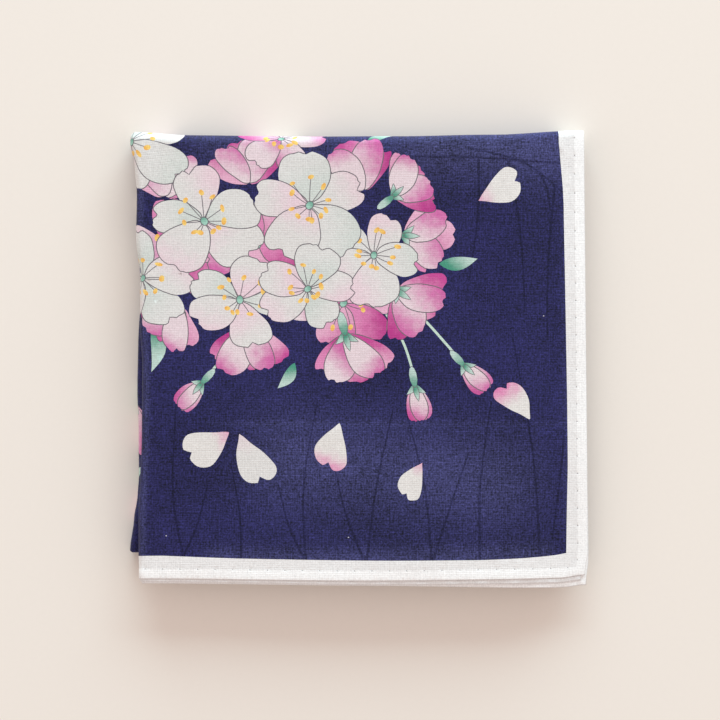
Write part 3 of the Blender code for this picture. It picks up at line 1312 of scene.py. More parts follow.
@dataclass
class Lines:
    """Points and edges that a net of triangles is laid through."""

    rows: list[Points] = field(default_factory=list)
    edges: list[tuple[int, int]] = field(default_factory=list)
    count: int = 0

    def add(self, line: Points, joined: bool = True, closed: bool = False) -> None:
        """Add the points of a line.

        Args:
            line: The points, one row each.
            joined: Whether an edge runs from each point to the next.
            closed: Whether an edge runs from the last point to the first.
        """
        if joined:
            self.edges += [(self.count + i, self.count + i + 1) for i in range(len(line) - 1)]
        if closed:
            self.edges.append((self.count + len(line) - 1, self.count))
        self.rows.append(line)
        self.count += len(line)

    def skin(self) -> Skin:
        """Lay the net of triangles.

        Returns:
            The net, which follows every edge.
        """
        corners = [Vector(point) for point in np.concatenate(self.rows)]
        found = delaunay_2d_cdt(corners, self.edges, [], 0, 1e-4, False)
        points, triangles = (np.array([tuple(row) for row in part]) for part in (found[0], found[2]))
        return Skin(points, triangles)


@dataclass
class Cloth:
    """The printed sheet: two skins and a rounded rim, folded into the pile as one closed mesh."""

    pile: Pile = field(default_factory=Pile)
    pattern: Print = field(default_factory=Print)
    hem: Hem = field(default_factory=Hem)
    front: FrontLeaf = field(default_factory=FrontLeaf)
    front_step: float = 1.5
    beneath_step: float = 2.5
    hidden_step: float = 9.0
    front_rim_step: float = 1.25
    rim_step: float = 4.0
    edge_rounding: float = 0.16
    hem_lines: tuple[float, ...] = (0.5, 1.4)
    rim_clearance: float = 4.0
    line_clearance: float = 0.3
    dimple_rings: tuple[float, float] = (0.32, 0.7)
    dimple_corners: int = 8
    fold_rows: tuple[int, int, int, int] = (6, 8, 11, 16)
    shown_beyond_left: float = 7.0
    shown_beyond_top: float = 14.0
    shown_beyond_back: float = 4.0
    rim_turn_left: float = 8.0
    rim_turn_top: float = 16.0
    station_clearance: float = 0.2
    relief_fade: float = 3.0
    offset: Points = field(default_factory=lambda: np.zeros(3))
    name: str = "cloth"

    def nose_lines(self) -> tuple[list[float], list[float]]:
        """Space flat lines across the cloth's folds, so that they bend smoothly.

        Returns:
            The places of the upright lines, and those of the level ones.
        """
        pile = self.pile
        radii = (pile.pair / 2, *(pile.pair_radius(folds) for folds in range(3)))
        first, back, left, top = (
            np.linspace(0, pile.take_up(radius), rows) for radius, rows in zip(radii, self.fold_rows))
        middle = 2 * pile.first_line - pile.take_up(pile.pair / 2)
        upright = [*(pile.left_line - left), *(pile.first_line - first), *(middle - pile.left_line + left)]
        middle = pile.bottom_edge + pile.far_end
        level = [*(pile.top_line + top), *(pile.back_line + back), *(middle - pile.top_line - top)]
        return sorted(upright), sorted(level)

    def step_at(self, x: Points, y: Points, printed: bool) -> Points:
        """Choose the spacing of the net, fine where the pile shows its outer leaf.

        Args:
            x: Flat places across.
            y: Flat places up.
            printed: Whether this is the printed side.

        Returns:
            One spacing for each place.
        """
        pile = self.pile
        outer = (x > pile.left_line - self.shown_beyond_left) & printed
        fine = np.where(y < pile.top_line + self.shown_beyond_top, self.front_step, self.beneath_step)
        outer &= y < pile.back_line + self.shown_beyond_back
        return np.where(outer, fine, self.hidden_step)

    def rim(self) -> Points:
        """Draw the cloth's rim, once round from its near right corner.

        Returns:
            The rim's points, one row each.
        """
        pile = self.pile
        left = pile.rim_left
        upright, level = self.nose_lines()
        ups = self.rim_stations(pile.bottom_edge, pile.far_end, pile.top_line + self.rim_turn_top, level)
        overs = self.rim_stations(-pile.right_edge, -left, self.rim_turn_left - pile.left_line,
                                  [-x for x in upright])
        overs = [-x for x in overs]
        right = [(pile.right_edge, y) for y in ups[:-1]]
        far = [(x, pile.far_end) for x in overs[:-1]]
        left_side = [(left, y) for y in ups[:0:-1]]
        near = [(x, pile.bottom_edge) for x in overs[:0:-1]]
        return np.array(right + far + left_side + near)

    def rim_stations(self, start: float, end: float, turn: float, lines: Sequence[float]) -> list[float]:
        """Space points along one edge.

        Args:
            start: Where the edge starts.
            end: Where it ends.
            turn: Where the spacing widens.
            lines: Places that have to be among them.

        Returns:
            The places, rising.
        """
        places = [*np.arange(start, turn, self.front_rim_step), *np.arange(turn, end, self.rim_step)]
        kept = [place for place in places
                if min(abs(place - line) for line in (*lines, end)) > self.station_clearance]
        return sorted({*kept, start, end, *lines})

    def net(self, shapes: list[Shape], printed: bool) -> Skin:
        """Lay a net of triangles over the flat cloth that follows its folds and its print.

        Args:
            shapes: Printed shapes whose outlines the net follows.
            printed: Whether this is the printed side, which shows.

        Returns:
            The net.
        """
        lines = Lines()
        lines.add(self.rim(), closed=True)
        upright, level = (np.array(places) for places in self.nose_lines())
        (left, near), _, (right, far), _ = self.pile.frame(0)
        for x in upright:
            lines.add(self.line_stations(np.array((x, near)), np.array((x, far)), printed))
        for y in level:
            lines.add(self.line_stations(np.array((left, y)), np.array((right, y)), printed))
        for inset in (*self.hem_lines, self.hem.width, self.hem.width + 0.5):
            corners = self.pile.frame(inset)
            for start, end in zip(corners, np.roll(corners, -1, axis=0)):
                lines.add(self.line_stations(start, end, printed), joined=False)
        for step in sorted({self.front_step, self.beneath_step, self.hidden_step}):
            columns = np.arange(left + self.rim_clearance, right - self.rim_clearance, step)
            rows = np.arange(near + self.rim_clearance, far - self.rim_clearance, step)
            x, y = (part.ravel() for part in np.meshgrid(columns, rows))
            keep = self.step_at(x, y, printed) == step
            keep &= np.abs(x[:, None] - upright).min(axis=1) > step * self.line_clearance
            keep &= np.abs(y[:, None] - level).min(axis=1) > step * self.line_clearance
            lines.add(np.column_stack((x[keep], y[keep])), joined=False)
        if printed:
            lines.add(self.dimple_points(), joined=False)
        for shape in shapes:
            lines.add(shape.outline, closed=True)
        return lines.skin()

    def line_stations(self, start: Points, end: Points, printed: bool) -> Points:
        """Space points along a straight line as the net is where it passes.

        Args:
            start: One end of the line.
            end: Its other end.
            printed: Whether this is the printed side.

        Returns:
            The points, one row each.
        """
        length = np.linalg.norm(end - start)
        places = [0.0]
        while places[-1] < length:
            point = start + (end - start) * places[-1] / length
            places.append(places[-1] + float(self.step_at(point[0], point[1], printed)))
        shares = np.clip(np.array(places) / length, 0, 1)
        return start + np.outer(shares, end - start)

    def dimple_points(self) -> Points:
        """Set points close round each stitch, so that its dimple has a form.

        Returns:
            The points, one row each.
        """
        places, _ = self.hem.stitch_places(self.pile)
        angles = np.linspace(0, FULL_TURN, self.dimple_corners, endpoint=False)
        ring = np.column_stack((np.cos(angles), np.sin(angles)))
        rings = np.concatenate(([(0.0, 0.0)], *(ring * radius for radius in self.dimple_rings)))
        return (places[:, None, :] + rings[None, :, :]).reshape(-1, 2)

    def top_shapes(self, skin: Skin, shapes: list[Shape]) -> Points:
        """Find the topmost shape over each triangle.

        Args:
            skin: The net.
            shapes: The printed shapes, lowest first.

        Returns:
            One number for each triangle, or -1.
        """
        middles = skin.points[skin.triangles].mean(axis=1)
        top = np.full(len(middles), -1)
        dyed = np.array([shape.ink.dyed for shape in shapes] + [False])
        backing = np.array([shape.ink in (Ink.BORDER, Ink.HEM) for shape in shapes] + [True])
        for number, shape in enumerate(shapes):
            low, high = shape.outline.min(axis=0), shape.outline.max(axis=0)
            near = np.flatnonzero(((middles >= low) & (middles <= high)).all(axis=1))
            under = top[near]
            if shape.over is Over.GROUND:
                near = near[dyed[under]]
            elif shape.over is Over.MOTIFS:
                near = near[~dyed[under] & ~backing[under]]
            top[near[shape.covers(middles[near])]] = number
        return top

    def colours(self, skin: Skin, shapes: list[Shape], plain: Ink) -> tuple[Points, Points, Points]:
        """Return the plain colour, flush colour and flush of every corner of every triangle.

        Args:
            skin: The net.
            shapes: The printed shapes, lowest first.
            plain: The ink where no shape lies.

        Returns:
            Three arrays with a row for each corner.
        """
        top = self.top_shapes(skin, shapes)
        body = np.tile(plain.linear(False), (len(top), 1))
        tint = np.tile(plain.linear(True), (len(top), 1))
        flush = np.zeros((len(top), 3))
        for number in np.unique(top[top >= 0]):
            own = np.flatnonzero(top == number)
            shape = shapes[number]
            body[own], tint[own] = shape.ink.linear(False), shape.ink.linear(True)
            corners = skin.points[skin.triangles[own]].reshape(-1, 2)
            flush[own] = shape.flush(corners).reshape(-1, 3)
        return np.repeat(body, 3, axis=0), np.repeat(tint, 3, axis=0), flush.ravel()

    def placed(self, flat: Points, height: Points) -> Points:
        """Place flat points at heights above the middle of the first pair, in metres in the frame."""
        return self.pile.place(np.column_stack((flat, height))) * MM

    def printed_height(self, flat: Points) -> Points:
        """Find the height of the printed side above the middle of the first pair.

        Args:
            flat: Flat places, one row each.

        Returns:
            One height for each place.
        """
        pile = self.pile
        shown = eased((flat[:, 0] - pile.left_line) / self.relief_fade)
        shown *= eased((pile.top_line - flat[:, 1]) / self.relief_fade)
        return pile.pair / 2 + self.hem.relief(pile, flat) + shown * self.front.relief(flat)

    def build(self) -> bpy.types.Object:
        """Build the folded cloth.

        Returns:
            The cloth, with its colours and its own UV map, and no material yet.
        """
        pile = self.pile
        # The hem's grey spots are painted shade in the needle holes.
        shapes = [*self.pattern.shapes(pile), *self.hem.prick_shades(pile)]
        ground = Shape(shapes[1].outline, Ink.WRONG_SIDE)
        upper, lower = self.net(shapes, True), self.net([ground], False)
        LOG.info("nets: %d and %d triangles", len(upper.triangles), len(lower.triangles))
        rim = self.rim()
        low, _, high, _ = pile.frame(self.edge_rounding)
        upper_places = self.placed(np.clip(upper.points, low, high), self.printed_height(upper.points))
        under = pile.pair / 2 - pile.thickness
        lower_places = self.placed(np.clip(lower.points, low, high), np.full(len(lower.points), under))
        rim_places = self.placed(rim, np.full(len(rim), pile.pair / 2 - pile.thickness / 2))

        first_lower, first_rim = len(upper.points), len(upper.points) + len(lower.points)
        faces = [tuple(face) for face in upper.triangles]
        faces += [tuple(face[::-1] + first_lower) for face in lower.triangles]
        upper_rim = self.rim_numbers(upper.points, rim)
        lower_rim = self.rim_numbers(lower.points, rim) + first_lower
        own = first_rim + np.arange(len(rim))
        for near, far in zip(range(len(rim)), [*range(1, len(rim)), 0]):
            faces.append((upper_rim[near], own[near], own[far], upper_rim[far]))
            faces.append((own[near], lower_rim[near], lower_rim[far], own[far]))
        flat = np.concatenate((upper.points, lower.points, rim))
        places = np.concatenate((upper_places, lower_places, rim_places))
        self.offset = self.shift(places)
        places += self.offset

        mesh = bpy.data.meshes.new(self.name)
        mesh.from_pydata(places.tolist(), [], [[int(i) for i in face] for face in faces])
        printed = self.colours(upper, shapes, Ink.HEM)
        self.dye(mesh, flat, printed, self.colours(lower, [ground], Ink.BORDER))
        mesh.shade_smooth()
        return added(self.name, mesh)

    def shift(self, places: Points) -> Points:
        """Centre the cloth's box on that of the solid, resting on the same base.

        Args:
            places: The cloth's points, one row each.

        Returns:
            The move.
        """
        lowest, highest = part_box(NODE)
        middle = (np.array(lowest) + np.array(highest)) / 2
        own = (places.min(axis=0) + places.max(axis=0)) / 2
        return np.array((middle[0] - own[0], middle[1] - own[1], lowest[2] - places[:, 2].min()))

    def rim_numbers(self, points: Points, rim: Points) -> Points:
        """Find the net's points that lie at the rim's points.

        Args:
            points: The net's points.
            rim: The rim's points.

        Returns:
            One number for each point of the rim.
        """
        numbers = {(round(x, 3), round(y, 3)): number for number, (x, y) in enumerate(points)}
        return np.array([numbers[round(x, 3), round(y, 3)] for x, y in rim])

    def dye(self, mesh: bpy.types.Mesh, flat: Points, upper: tuple[Points, Points, Points],
            lower: tuple[Points, Points, Points]) -> None:
        """Store the print and the flat places on the mesh's corners.

        Args:
            mesh: The cloth's mesh: upper triangles, lower triangles, then the rim.
            flat: Flat place of every point.
            upper: Colours of the upper triangles' corners.
            lower: Colours of the lower triangles' corners, in their first order.
        """
        corners = np.zeros(len(mesh.loops), dtype=np.int64)
        mesh.loops.foreach_get("vertex_index", corners)
        pile = self.pile
        uv = (flat - (pile.rim_left, pile.bottom_edge)) / pile.side
        layer = mesh.uv_layers.new(name="cloth")
        layer.uv.foreach_set("vector", uv[corners].astype(np.float32).ravel())
        turned = [part.reshape(-1, 3, *part.shape[1:])[:, ::-1].reshape(part.shape) for part in lower]
        rest = len(corners) - len(upper[0]) - len(lower[0])
        plain = (np.tile(Ink.BORDER.linear(False), (rest, 1)), np.tile(Ink.BORDER.linear(True), (rest, 1)),
                 np.zeros(rest))
        body, tint, flush = (np.concatenate(parts) for parts in zip(upper, turned, plain))
        for name, values in (("ink", body), ("tint", tint), ("flush", flush)):
            kind, key = ("FLOAT", "value") if name == "flush" else ("FLOAT_COLOR", "color")
            attribute = mesh.attributes.new(name, kind, "CORNER")
            attribute.data.foreach_set(key, values.astype(np.float32).ravel())


Value = "Signal | float"


class Signal:
    """A shader socket that takes part in Python sums, each of which adds its Math node."""

    def __init__(self, graph: "Graph", socket: bpy.types.NodeSocket) -> None:
        """Wrap a node's output socket."""
        self.graph = graph
        self.socket = socket

    def __add__(self, other: Value) -> "Signal":
        """Return the sum."""
        return self.graph.maths("ADD", self, other)

    def __radd__(self, other: Value) -> "Signal":
        """Return the sum with a plain number first."""
        return self.graph.maths("ADD", other, self)

    def __sub__(self, other: Value) -> "Signal":
        """Return the difference."""
        return self.graph.maths("SUBTRACT", self, other)

    def __rsub__(self, other: Value) -> "Signal":
        """Return a plain number less this."""
        return self.graph.maths("SUBTRACT", other, self)

    def __mul__(self, other: Value) -> "Signal":
        """Return the product."""
        return self.graph.maths("MULTIPLY", self, other)

    def __rmul__(self, other: Value) -> "Signal":
        """Return the product with a plain number first."""
        return self.graph.maths("MULTIPLY", other, self)


class Graph:
    """A node tree, written as expressions."""

    def __init__(self, tree: bpy.types.NodeTree) -> None:
        """Write into this tree."""
        self.tree = tree

    def node(self, kind: str, settings: dict[str, object],
             inputs: dict[str | int, object]) -> bpy.types.Node:
        """Add a node.

        Args:
            kind: The node's type name.
            settings: Its own properties, set before its sockets.
            inputs: Values or links of its sockets, by name or number.

        Returns:
            The node.
        """
        made = self.tree.nodes.new(kind)
        for key, value in settings.items():
            setattr(made, key, value)
        for key, value in inputs.items():
            self.feed(made.inputs[key], value)
        return made

    def feed(self, socket: bpy.types.NodeSocket, value: object) -> None:
        """Link a signal or socket to an input, or set the input's own value.

        Args:
            socket: The input.
            value: A signal, a socket or a plain value.
        """
        if isinstance(value, Signal):
            value = value.socket
        if isinstance(value, bpy.types.NodeSocket):
            self.tree.links.new(value, socket)
        else:
            socket.default_value = value

    def maths(self, operation: str, *values: Value, clamp: bool = False) -> Signal:
        """Add a Math node.

        Args:
            operation: The node's operation.
            values: Signals or plain numbers.
            clamp: Whether to keep to 0 to 1.

        Returns:
            The result.
        """
        settings = {"operation": operation, "use_clamp": clamp}
        return Signal(self, self.node("ShaderNodeMath", settings, dict(enumerate(values))).outputs[0])

    def noise(self, x: Signal, y: Signal, scale: float | tuple[float, float], salt: float,
              detail: float = 2.0) -> Signal:
        """Add soft noise, around a half.

        Args:
            x: The place across.
            y: The place up.
            scale: How fine the noise is: one number, or one across and one up.
            salt: A number that no other noise has.
            detail: Finer layers of the noise.

        Returns:
            The noise.
        """
        across, up = scale if isinstance(scale, tuple) else (scale, scale)
        place = self.node("ShaderNodeCombineXYZ", {}, {"X": x * across, "Y": y * up, "Z": salt}).outputs[0]
        inputs = {"Vector": place, "Scale": 1.0, "Detail": detail, "Roughness": 0.55}
        return Signal(self, self.node("ShaderNodeTexNoise", {}, inputs).outputs[0])

    def bump(self, strength: float, distance: float, height: Value) -> bpy.types.NodeSocket:
        """Turn a height into a bent normal and return the result's socket."""
        inputs = {"Strength": strength, "Distance": distance, "Height": height}
        return self.node("ShaderNodeBump", {}, inputs).outputs[0]

    def mix(self, share: Value, first: object, second: object) -> bpy.types.NodeSocket:
        """Mix two colours and return the result's socket."""
        made = self.node("ShaderNodeMix", {"data_type": "RGBA"}, {0: share, 6: first, 7: second})
        return made.outputs[2]

    def scaled(self, colour: object, share: Value) -> bpy.types.NodeSocket:
        """Multiply a colour by a number and return the result's socket."""
        made = self.node("ShaderNodeVectorMath", {"operation": "SCALE"}, {0: colour, "Scale": share})
        return made.outputs[0]


class MaterialGraph(Graph):
    """The node tree of a new material."""

    def __init__(self, name: str) -> None:
        """Make the material with nothing but its shader and output.

        Args:
            name: The material's name.
        """
        self.material = bpy.data.materials.new(name)
        self.material.use_nodes = True
        super().__init__(self.material.node_tree)

    def attribute(self, name: str) -> bpy.types.bpy_prop_collection:
        """Return the sockets that read an attribute of the mesh."""
        return self.node("ShaderNodeAttribute", {"attribute_name": name}, {}).outputs

    def object_place(self) -> tuple[Signal, Signal]:
        """Return the x and the y of the object's own coordinates."""
        place = self.node("ShaderNodeTexCoord", {}, {}).outputs["Object"]
        return self.parts(place)

    def parts(self, place: bpy.types.NodeSocket) -> tuple[Signal, Signal]:
        """Return the first two numbers of a vector."""
        parts = self.node("ShaderNodeSeparateXYZ", {}, {0: place}).outputs
        return Signal(self, parts[0]), Signal(self, parts[1])

    def finish(self, **sockets: object) -> bpy.types.Material:
        """Feed the shader's sockets.

        Args:
            sockets: Values or links by the socket's name, spaces written as underscores.

        Returns:
            The material.
        """
        shader = self.tree.nodes["Principled BSDF"]
        for name, value in sockets.items():
            self.feed(shader.inputs[name.replace("_", " ")], value)
        return self.material


@dataclass(frozen=True)
class CottonFinish:
    """Fine plain-weave cotton with the print in it. Millimetres for sizes in the weave."""

    side: float = 500.0
    yarn: float = 0.50
    slub_length: float = 3.5
    grain: float = 1.9
    ground_streak: float = 1.25
    sparkle: float = 0.5
    plain_streak: float = 0.22
    relief: float = 0.05 * MM
    roughness: float = 0.88
    sheen: float = 0.10
    brush: float = 0.45
    brush_scale: float = 0.55
    cloud: float = 0.30
    cloud_scale: float = 0.16
    drift: float = 0.75
    drift_scale: float = 0.042
    slub_strength: float = 0.7
    grain_strength: float = 1.7
    # Strength of the painted shade between the yarns, on the ground and on the motifs.
    weave_shade_on_ground: float = 0.25
    weave_shade_on_motifs: float = 0.10
    slub_height: float = 0.6
    slub_roughness: float = 0.1
    bump: float = 0.7
    sheen_roughness: float = 0.45
    specular: float = 0.25
    flush_from: float = 0.08
    flush_to: float = 0.90

    def material(self) -> bpy.types.Material:
        """Make the cloth's material, which reads its UV map and its three print attributes.

        Returns:
            The material.
        """
        graph = MaterialGraph("printed cotton")
        uv = graph.node("ShaderNodeUVMap", {"uv_map": "cloth"}, {}).outputs[0]
        across, along = (part * self.side for part in graph.parts(uv))
        weave = self.weave_height(graph, across, along)
        slubs = self.slubs(graph, across, along)
        return self.coloured(graph, across, along, weave, slubs)

    def weave_height(self, graph: MaterialGraph, across: Signal, along: Signal) -> Signal:
        """Weave the yarns over and under each other.

        Args:
            graph: The material's nodes.
            across: Place across the cloth.
            along: Place up the cloth.

        Returns:
            The height, 0 to 1.
        """
        warp = graph.maths("ABSOLUTE", graph.maths("SINE", across * (math.pi / self.yarn)))
        weft = graph.maths("ABSOLUTE", graph.maths("SINE", along * (math.pi / self.yarn)))
        columns = graph.maths("FLOOR", across * (1 / self.yarn))
        rows = graph.maths("FLOOR", along * (1 / self.yarn))
        over = graph.maths("FLOORED_MODULO", columns + rows, 2.0)
        warp_up = warp * (weft * 0.5 + 0.5)
        weft_up = weft * (warp * 0.5 + 0.5)
        return warp_up * over + weft_up * (1.0 - over)

    def slubs(self, graph: MaterialGraph, across: Signal, along: Signal) -> Signal:
        """Make some yarns thicker and paler than others.

        Args:
            graph: The material's nodes.
            across: Place across the cloth.
            along: Place up the cloth.

        Returns:
            The difference, around 0.
        """
        fine, long = 1 / self.yarn, 1 / self.slub_length
        warp = graph.noise(across, along, (fine, long), 0.0, 1.0)
        weft = graph.noise(across, along, (long, fine), 7.0, 1.0)
        grain = graph.noise(across, along, self.grain, 3.0, 1.0)
        yarns = (warp - 0.5) * self.slub_strength + (weft - 0.5) * self.slub_strength
        return yarns + (grain - 0.5) * self.grain_strength

    def coloured(self, graph: MaterialGraph, across: Signal, along: Signal, weave: Signal,
                 slubs: Signal) -> bpy.types.Material:
        """Colour the cloth with its print, broken up by the weave, with painted shade between the yarns.

        Args:
            graph: The material's nodes.
            across: Place across the cloth.
            along: Place up the cloth.
            weave: Height of the yarns.
            slubs: How much yarns differ.

        Returns:
            The material.
        """
        ink, tint = graph.attribute("ink"), graph.attribute("tint")
        flush, ground = Signal(graph, graph.attribute("flush")["Fac"]), Signal(graph, ink["Alpha"])
        motif = 1.0 - ground
        cloud = (graph.noise(across, along, self.cloud_scale, 1.0, 3.0) - 0.5) * self.cloud
        brush = (graph.noise(across, along, self.brush_scale, 5.0, 3.0) - 0.5) * self.brush
        painted = flush + (brush + cloud) * motif
        limits = {"Value": painted, "From Min": self.flush_from, "From Max": self.flush_to}
        share = graph.node("ShaderNodeMapRange", {"interpolation_type": "SMOOTHSTEP"}, limits).outputs[0]
        # On the dyed ground the flush is the painted sheen itself; on motifs it is the print's flush,
        # broken up by brush and cloud.
        soft = graph.maths("ADD", Signal(graph, share) * motif, flush * ground, clamp=True)
        colour = graph.mix(soft, ink["Color"], tint["Color"])
        streak = ground * (self.ground_streak - self.plain_streak) + self.plain_streak
        drift = (graph.noise(across, along, self.drift_scale, 9.0) - 0.5) * ground * self.drift
        # Painted shade: darker between the yarns, lighter on their tops.
        weave_shade = (weave - 0.5) * (ground * self.weave_shade_on_ground + self.weave_shade_on_motifs)
        tone = slubs * streak + weave_shade + drift + 1.0
        tone = graph.maths("POWER", graph.maths("MAXIMUM", tone, 0.0), ground * self.sparkle + 1.0)
        normal = graph.bump(self.bump, self.relief, weave + slubs * self.slub_height)
        rough = slubs * self.slub_roughness + self.roughness
        return graph.finish(Base_Color=graph.scaled(colour, tone), Roughness=rough, Normal=normal,
                            Sheen_Weight=self.sheen, Sheen_Roughness=self.sheen_roughness,
                            Specular_IOR_Level=self.specular)


@dataclass(frozen=True)
class ThreadFinish:
    """Off-white sewing thread, with painted light and shade along its twist."""

    colour: tuple[float, float, float] = (226, 223, 219)
    twist: float = 0.25 * MM
    shade: float = 0.08
    plain: float = 0.95
    bump: float = 0.4
    relief: float = 0.02 * MM
    roughness: float = 0.7

    def material(self) -> bpy.types.Material:
        """Make the thread's material.

        Returns:
            The material.
        """
        graph = MaterialGraph("sewing thread")
        x, y = graph.object_place()
        twist_shade = graph.maths("SINE", (x + y) * (FULL_TURN / self.twist)) * self.shade + self.plain
        return graph.finish(Base_Color=graph.scaled(linear_colour(self.colour), twist_shade),
                            Roughness=self.roughness, Normal=graph.bump(self.bump, self.relief, twist_shade))


@dataclass(frozen=True)
class PaperFinish:
    """Matt pale paper under the pile."""

    colour: tuple[float, float, float] = (240, 232, 224)
    fleck_scale: float = 700.0
    fleck: float = 0.02
    roughness: float = 0.95
    specular: float = 0.1

    def material(self) -> bpy.types.Material:
        """Make the floor's material.

        Returns:
            The material.
        """
        graph = MaterialGraph("pale paper")
        x, y = graph.object_place()
        fleck = graph.noise(x, y, self.fleck_scale, 0.0) * self.fleck + (1 - self.fleck / 2)
        return graph.finish(Base_Color=graph.scaled(linear_colour(self.colour), fleck),
                            Roughness=self.roughness, Specular_IOR_Level=self.specular)


@dataclass
class HemStitches:
    """The blind stitches that hold the hem down, along the near hem and up the right one."""

    cloth: Cloth
    length: float = 0.7 * MM
    radius: float = 0.07 * MM
    unevenness: float = 0.18
    seed: int = 5
    look_ahead: float = 0.4
    segments: int = 8
    rings: int = 6
    name: str = "hem_stitches"

    def inputs(self) -> dict[str, float | int]:
        """Return the values of the tree's named inputs."""
        return {"Stitch Length": self.length, "Thread Radius": self.radius,
                "Unevenness": self.unevenness, "Seed": self.seed}

    def places(self) -> bpy.types.Object:
        """Chain points along the hem, one at each stitch, with the way it runs.

        Returns:
            An object whose points are the stitches' places.
        """
        pile, hem = self.cloth.pile, self.cloth.hem
        flat, ways = hem.stitch_places(pile)
        ahead = flat + ways * self.look_ahead
        low, high = (self.cloth.placed(spot, self.cloth.printed_height(spot)) for spot in (flat, ahead))
        mesh = bpy.data.meshes.new("stitch places")
        mesh.from_pydata((low + self.cloth.offset).tolist(), [(i, i + 1) for i in range(len(low) - 1)], [])
        run = mesh.attributes.new("run", "FLOAT_VECTOR", "POINT")
        run.data.foreach_set("vector", (high - low).astype(np.float32).ravel())
        return added(self.name, mesh)

    def tree(self, thread: bpy.types.Material) -> bpy.types.NodeTree:
        """Make the node tree that sets one stitch at each point.

        Args:
            thread: Material of the stitches.

        Returns:
            The tree, whose sizes and seed are named inputs.
        """
        tree = bpy.data.node_groups.new("stitch row", "GeometryNodeTree")
        for side in ("INPUT", "OUTPUT"):
            tree.interface.new_socket("Geometry", in_out=side, socket_type="NodeSocketGeometry")
        for name, value in self.inputs().items():
            kind = "NodeSocketInt" if isinstance(value, int) else "NodeSocketFloat"
            tree.interface.new_socket(name, in_out="INPUT", socket_type=kind)
        graph = Graph(tree)
        given = graph.node("NodeGroupInput", {}, {}).outputs
        length, uneven = Signal(graph, given["Stitch Length"]), Signal(graph, given["Unevenness"])
        radius = given["Thread Radius"]
        sphere = {"Segments": self.segments, "Rings": self.rings, "Radius": 1.0}
        ball = graph.node("GeometryNodeMeshUVSphere", {}, sphere)
        size = graph.node("ShaderNodeCombineXYZ", {}, {"X": length * 0.5, "Y": radius, "Z": radius})
        form = graph.node(
            "GeometryNodeTransform", {}, {"Geometry": ball.outputs["Mesh"], "Scale": size.outputs[0]})
        run = graph.node("GeometryNodeInputNamedAttribute", {"data_type": "FLOAT_VECTOR"}, {"Name": "run"})
        turn = graph.node("FunctionNodeAlignRotationToVector", {"axis": "X"},
                          {"Vector": run.outputs["Attribute"]})
        chance = graph.node("FunctionNodeRandomValue", {"data_type": "FLOAT"}, {"Seed": given["Seed"]})
        lowest, highest = [socket for socket in chance.inputs if socket.type == "VALUE"][:2]
        graph.feed(lowest, 1.0 - uneven)
        graph.feed(highest, 1.0 + uneven)
        scale = next(socket for socket in chance.outputs if socket.type == "VALUE")
        rows = graph.node("GeometryNodeInstanceOnPoints", {},
                          {"Points": given["Geometry"], "Instance": form.outputs["Geometry"],
                           "Rotation": turn.outputs["Rotation"], "Scale": scale})
        real = graph.node("GeometryNodeRealizeInstances", {}, {"Geometry": rows.outputs["Instances"]})
        dressed = graph.node("GeometryNodeSetMaterial", {},
                             {"Geometry": real.outputs["Geometry"], "Material": thread})
        graph.node("NodeGroupOutput", {}, {"Geometry": dressed.outputs["Geometry"]})
        return tree

    def build(self, thread: bpy.types.Material) -> bpy.types.Object:
        """Build the stitches as one plain mesh.

        Args:
            thread: Their material.

        Returns:
            The stitches.
        """
        chain = self.places()
        modifier = chain.modifiers.new("stitches", "NODES")
        tree = self.tree(thread)
        modifier.node_group = tree
        sizes = self.inputs()
        for item in tree.interface.items_tree:
            if item.name in sizes:
                modifier[item.identifier] = sizes[item.name]
        evaluated = chain.evaluated_get(bpy.context.evaluated_depsgraph_get())
        mesh = bpy.data.meshes.new_from_object(evaluated)
        bpy.data.objects.remove(chain)
        mesh.name = self.name
        mesh.shade_smooth()
        return added(self.name, mesh)


@dataclass(frozen=True)
class Lamp:
    """One soft rectangular light, aimed at the pile."""

    name: str
    place: tuple[float, float, float]
    width: float
    depth: float
    power: float
    colour: tuple[float, float, float] = (1.0, 1.0, 1.0)

    def build(self) -> None:
        """Add the light to the scene."""
        data = bpy.data.lights.new(self.name, "AREA")
        data.shape = "RECTANGLE"
        data.size, data.size_y = self.width, self.depth
        data.energy, data.color = self.power, self.colour
        lamp = added(self.name, data)
        lamp.location = self.place
        lamp.rotation_euler = (-Vector(self.place)).to_track_quat("-Z", "Y").to_euler()


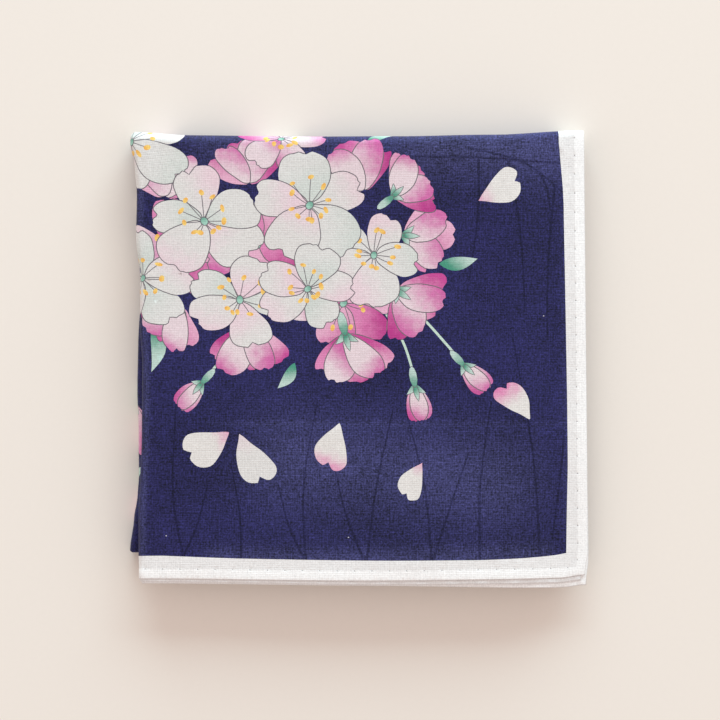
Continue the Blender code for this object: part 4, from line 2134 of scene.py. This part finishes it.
@dataclass(frozen=True)
class Studio:
    """The pale floor, the soft light and the camera over the pile."""

    frame_pixels: float = 720.0
    pixel: float = 0.279 * MM
    lens_mm: float = 100.0
    sensor_mm: float = 36.0
    tilt_deg: float = 2.0
    aim_mm: tuple[float, float] = (0.4, -0.8)
    floor_size: float = 4.0
    floor_drop: float = 0.15 * MM
    ambient: float = 0.76
    ambient_colour: tuple[float, float, float] = (1.0, 0.875, 0.825)
    lamps: tuple[Lamp, ...] = (
        Lamp("window", (0.35, 2.45, 0.8), 3.0, 1.4, 98.0, (0.69, 0.93, 1.0)),
    )

    def build(self) -> None:
        """Build the floor, the lights, the camera and the background light."""
        self.build_floor()
        for lamp in self.lamps:
            lamp.build()
        self.build_camera()
        world = bpy.data.worlds.new("soft light")
        world.use_nodes = True
        light = world.node_tree.nodes["Background"].inputs
        light["Color"].default_value = (*self.ambient_colour, 1.0)
        light["Strength"].default_value = self.ambient
        bpy.context.scene.world = world
        bpy.context.scene.view_settings.view_transform = "Standard"

    def build_floor(self) -> None:
        """Build the floor, just under the pile."""
        half = self.floor_size / 2
        mesh = bpy.data.meshes.new("floor")
        corners = [(-half, -half), (half, -half), (half, half), (-half, half)]
        mesh.from_pydata([(x, y, -self.floor_drop) for x, y in corners], [], [(0, 1, 2, 3)])
        mesh.materials.append(PaperFinish().material())
        added("floor", mesh)

    def build_camera(self) -> None:
        """Build the camera, which looks down on the pile as in the photograph."""
        lowest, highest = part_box(NODE)
        target = Vector((self.aim_mm[0] * MM, self.aim_mm[1] * MM, highest.z))
        distance = self.frame_pixels * self.pixel * self.lens_mm / self.sensor_mm
        data = bpy.data.cameras.new("camera")
        data.lens, data.sensor_width = self.lens_mm, self.sensor_mm
        camera = added("camera", data)
        tilt = math.radians(self.tilt_deg)
        camera.location = target + Vector((0.0, -math.sin(tilt), math.cos(tilt))) * distance
        camera.rotation_euler = (tilt, 0.0, 0.0)
        bpy.context.scene.camera = camera


def report(piece: bpy.types.Object) -> None:
    """Log a piece's name and the size of its mesh."""
    LOG.info("%s: %d points, %d faces", piece.name, len(piece.data.vertices), len(piece.data.polygons))


def main() -> None:
    """Build the cloth, its stitches and the studio, and tell the frame what each piece is."""
    logging.basicConfig(level=logging.INFO, format="%(name)s: %(message)s")
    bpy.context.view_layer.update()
    design = Cloth()
    cloth = design.build()
    cloth.data.materials.append(CottonFinish().material())
    report(cloth)
    stitches = HemStitches(design).build(ThreadFinish().material())
    report(stitches)
    for piece in (cloth, stitches):
        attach(piece, BODY)
    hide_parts(NODE)
    Studio().build()


if __name__ == "__main__":
    main()
